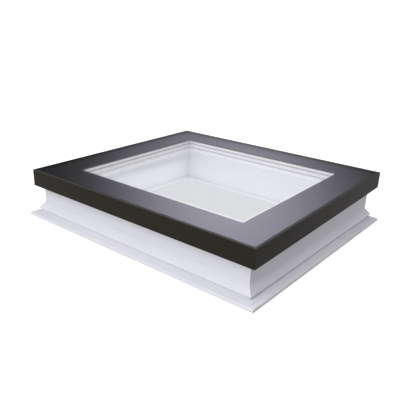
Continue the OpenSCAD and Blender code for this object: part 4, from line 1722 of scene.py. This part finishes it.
@dataclass(frozen=True)
class Camera:
    """The camera, by its direction from the window and the point that it looks past."""

    azimuth_deg: float = 37.84
    elevation_deg: float = 19.96
    roll_deg: float = 2.64
    lens: float = 44.9
    film: float = 36.0
    target: Triple = (0.159, -0.262, 0.182)
    distance: float = 1.644

    def build(self) -> None:
        """Makes the camera and sets it as the scene's."""
        turns = (self.azimuth_deg, self.elevation_deg, self.roll_deg)
        az, el, roll = (math.radians(turn) for turn in turns)
        back = np.array([math.sin(az) * math.cos(el), -math.cos(az) * math.cos(el), math.sin(el)])
        right = np.array([math.cos(az), math.sin(az), 0.0])
        up = np.cross(back, right)
        side = math.cos(roll) * right + math.sin(roll) * up
        top = -math.sin(roll) * right + math.cos(roll) * up
        place = np.array(self.target) + back * self.distance
        data = bpy.data.cameras.new("camera")
        data.lens, data.sensor_width = self.lens, self.film
        camera = in_scene("camera", data)
        columns = np.stack([side, top, back, place], axis=1)
        camera.matrix_world = Matrix([*columns.tolist(), [0, 0, 0, 1]])
        bpy.context.scene.camera = camera


@dataclass(frozen=True)
class Softbox:
    """A round soft light on the studio's wall, by its bearing and how it fades from its middle.

    The bearing turns from +Y, the back, towards -X.
    """

    bearing_deg: float
    elevation_deg: float
    spread_deg: float
    strength: float
    falloff: float = 1.0
    mirrored: float = 1.0
    colour: Colour = (1.0, 1.0, 1.0)

    def light(self, tree: NodeTree, way: tuple[Wire, Wire, Wire], in_mirror: Wire) -> Wire:
        """Its colour in a direction: a power of how far the cosine is past the edge's cosine.

        Args:
            tree: The world's nodes.
            way: The direction.
            in_mirror: 1 for what shiny surfaces show, which see the box's mirrored share.

        Returns:
            The colour.
        """
        bearing, elevation = math.radians(self.bearing_deg), math.radians(self.elevation_deg)
        x, y, z = way
        flat = math.cos(elevation)
        middle = (-math.sin(bearing) * flat, math.cos(bearing) * flat, math.sin(elevation))
        cosine = x * middle[0] + y * middle[1] + z * middle[2]
        edge = math.cos(math.radians(self.spread_deg))
        share = ((cosine - edge) / (1 - edge)).at_least(0.0)
        dimmed = self.strength * (1 - in_mirror * (1 - self.mirrored))
        return tree.scaled(self.colour, share ** self.falloff * dimmed)


@dataclass(frozen=True)
class Studio:
    """A white floor and soft boxes round the walls of a dim room, in metres.

    table_glow and sheet_glow are what lights the well. table_seen is how bright the table
    looks to the eye, and backdrop what is seen past the floor.
    """

    floor_half: float = 60.0
    floor_height: float = 0.0002
    floor_grey: float = 0.50
    floor_glow: float = 0.75
    table_half: Span = (0.377, 0.327)
    table_height: float = 0.0005
    table_glow: float = 1.35
    table_seen: float = 0.865
    sheet_half: Span = (0.37, 0.32)
    sheet_height: float = 0.11
    sheet_glow: float = 1.82
    sheet_colour: Colour = (1.0, 0.985, 0.935)
    ambient: Colour = (0.05, 0.05, 0.05)
    backdrop: Colour = (1.05, 1.05, 1.05)
    boxes: tuple[Softbox, ...] = (
        Softbox(168.0, 24.0, 52.0, 2.6, mirrored=0.09),
        Softbox(-42.0, 5.0, 30.0, 1.0, mirrored=0.8),
        Softbox(-110.0, 30.0, 45.0, 0.15),
        Softbox(0.0, 90.0, 50.0, 1.75, mirrored=0.4),
        Softbox(15.0, 20.0, 60.0, 0.6, mirrored=0.0),
        Softbox(0.0, -90.0, 80.0, 0.8, mirrored=0.0),
        Softbox(35.0, 29.0, 25.5, 1.57, falloff=4.0, colour=(1.0, 0.975, 1.17)),
    )

    def sheet(self, name: str, half: Span, height: float) -> tuple[bpy.types.Object, NodeTree]:
        """A level rectangle of the stage with an empty material.

        Args:
            name: Its name.
            half: Half its size along X and along Y.
            height: Its height over the ground.

        Returns:
            The object and its material's nodes.
        """
        x, y = half
        corners = [(-x, -y, height), (x, -y, height), (x, y, height), (-x, y, height)]
        mesh = bpy.data.meshes.new(name)
        mesh.from_pydata(corners, [], [(0, 1, 2, 3)])
        made = bpy.data.materials.new(name)
        mesh.materials.append(made)
        sheet = in_scene(name, mesh)
        return sheet, NodeTree(made)

    def from_above(self, tree: NodeTree, shader: Wire) -> None:
        """Finishes a sheet with a shader that only its upper face has; from below it is clear."""
        under = tree.node("ShaderNodeNewGeometry", output="Backfacing")
        tree.finish(tree.blended(under, shader, tree.clear()))

    def build_floor(self) -> None:
        """A flat square floor that looks white whatever stands on it."""
        _, tree = self.sheet("floor", (self.floor_half, self.floor_half), self.floor_height)
        paper = tree.node("ShaderNodeBsdfDiffuse", inputs={"Color": (*[self.floor_grey] * 3, 1)})
        lit = tree.glow(tree.ray("Is Camera Ray") * self.floor_glow)
        self.from_above(tree, tree.node("ShaderNodeAddShader", inputs={0: paper, 1: lit}))

    def build_light_table(self) -> None:
        """A glowing sheet on the floor of the well, which lights the walls round it."""
        _, tree = self.sheet("light_table", self.table_half, self.table_height)
        change = self.table_seen - self.table_glow
        self.from_above(tree, tree.glow(self.table_glow + tree.ray("Is Camera Ray") * change))

    def build_glow_sheet(self) -> None:
        """A sheet half way up the well that lights its walls evenly and is not seen itself."""
        sheet, tree = self.sheet("glow_sheet", self.sheet_half, self.sheet_height)
        tree.finish(tree.glow(self.sheet_glow, self.sheet_colour))
        sheet.visible_camera = False
        sheet.visible_shadow = False
        sheet.visible_glossy = False
        sheet.visible_transmission = False

    def build_world(self) -> None:
        """White to the eye; for the light, a dim room with soft boxes on its walls."""
        world = bpy.data.worlds.new("studio")
        bpy.context.scene.world = world
        tree = NodeTree(world)
        way = tree.axes(tree.node("ShaderNodeTexCoord", output="Generated"))
        seen, in_mirror = tree.ray("Is Camera Ray"), tree.ray("Is Glossy Ray")
        room = self.ambient
        for box in self.boxes:
            light = box.light(tree, way, in_mirror)
            room = tree.node("ShaderNodeVectorMath", {"operation": "ADD"}, {0: room, 1: light})
        shown = tree.mixed(seen, room, self.backdrop)
        round_it = tree.node("ShaderNodeBackground", inputs={"Color": shown, "Strength": 1.0})
        tree.finish(round_it, "ShaderNodeOutputWorld")

    def build(self) -> None:
        """Sets up floor, world and the plain colour management."""
        self.build_floor()
        self.build_light_table()
        self.build_glow_sheet()
        self.build_world()
        bpy.context.scene.view_settings.view_transform = "Standard"


def main() -> None:
    """Dresses the CAD nodes, builds the pieces, and sets up the studio."""
    logging.basicConfig(level=logging.INFO, format="%(message)s")
    wardrobe = Wardrobe()
    wardrobe.dress_cad()
    Kerb().build(wardrobe)
    SashFrame().build(wardrobe)
    Cladding().build(wardrobe)
    GlassUnit().build(wardrobe)
    Screws().build(wardrobe)
    DriveHousing().build(wardrobe)
    PushChain().build(wardrobe)
    Studio().build()
    Camera().build()


if __name__ == "__main__":
    main()
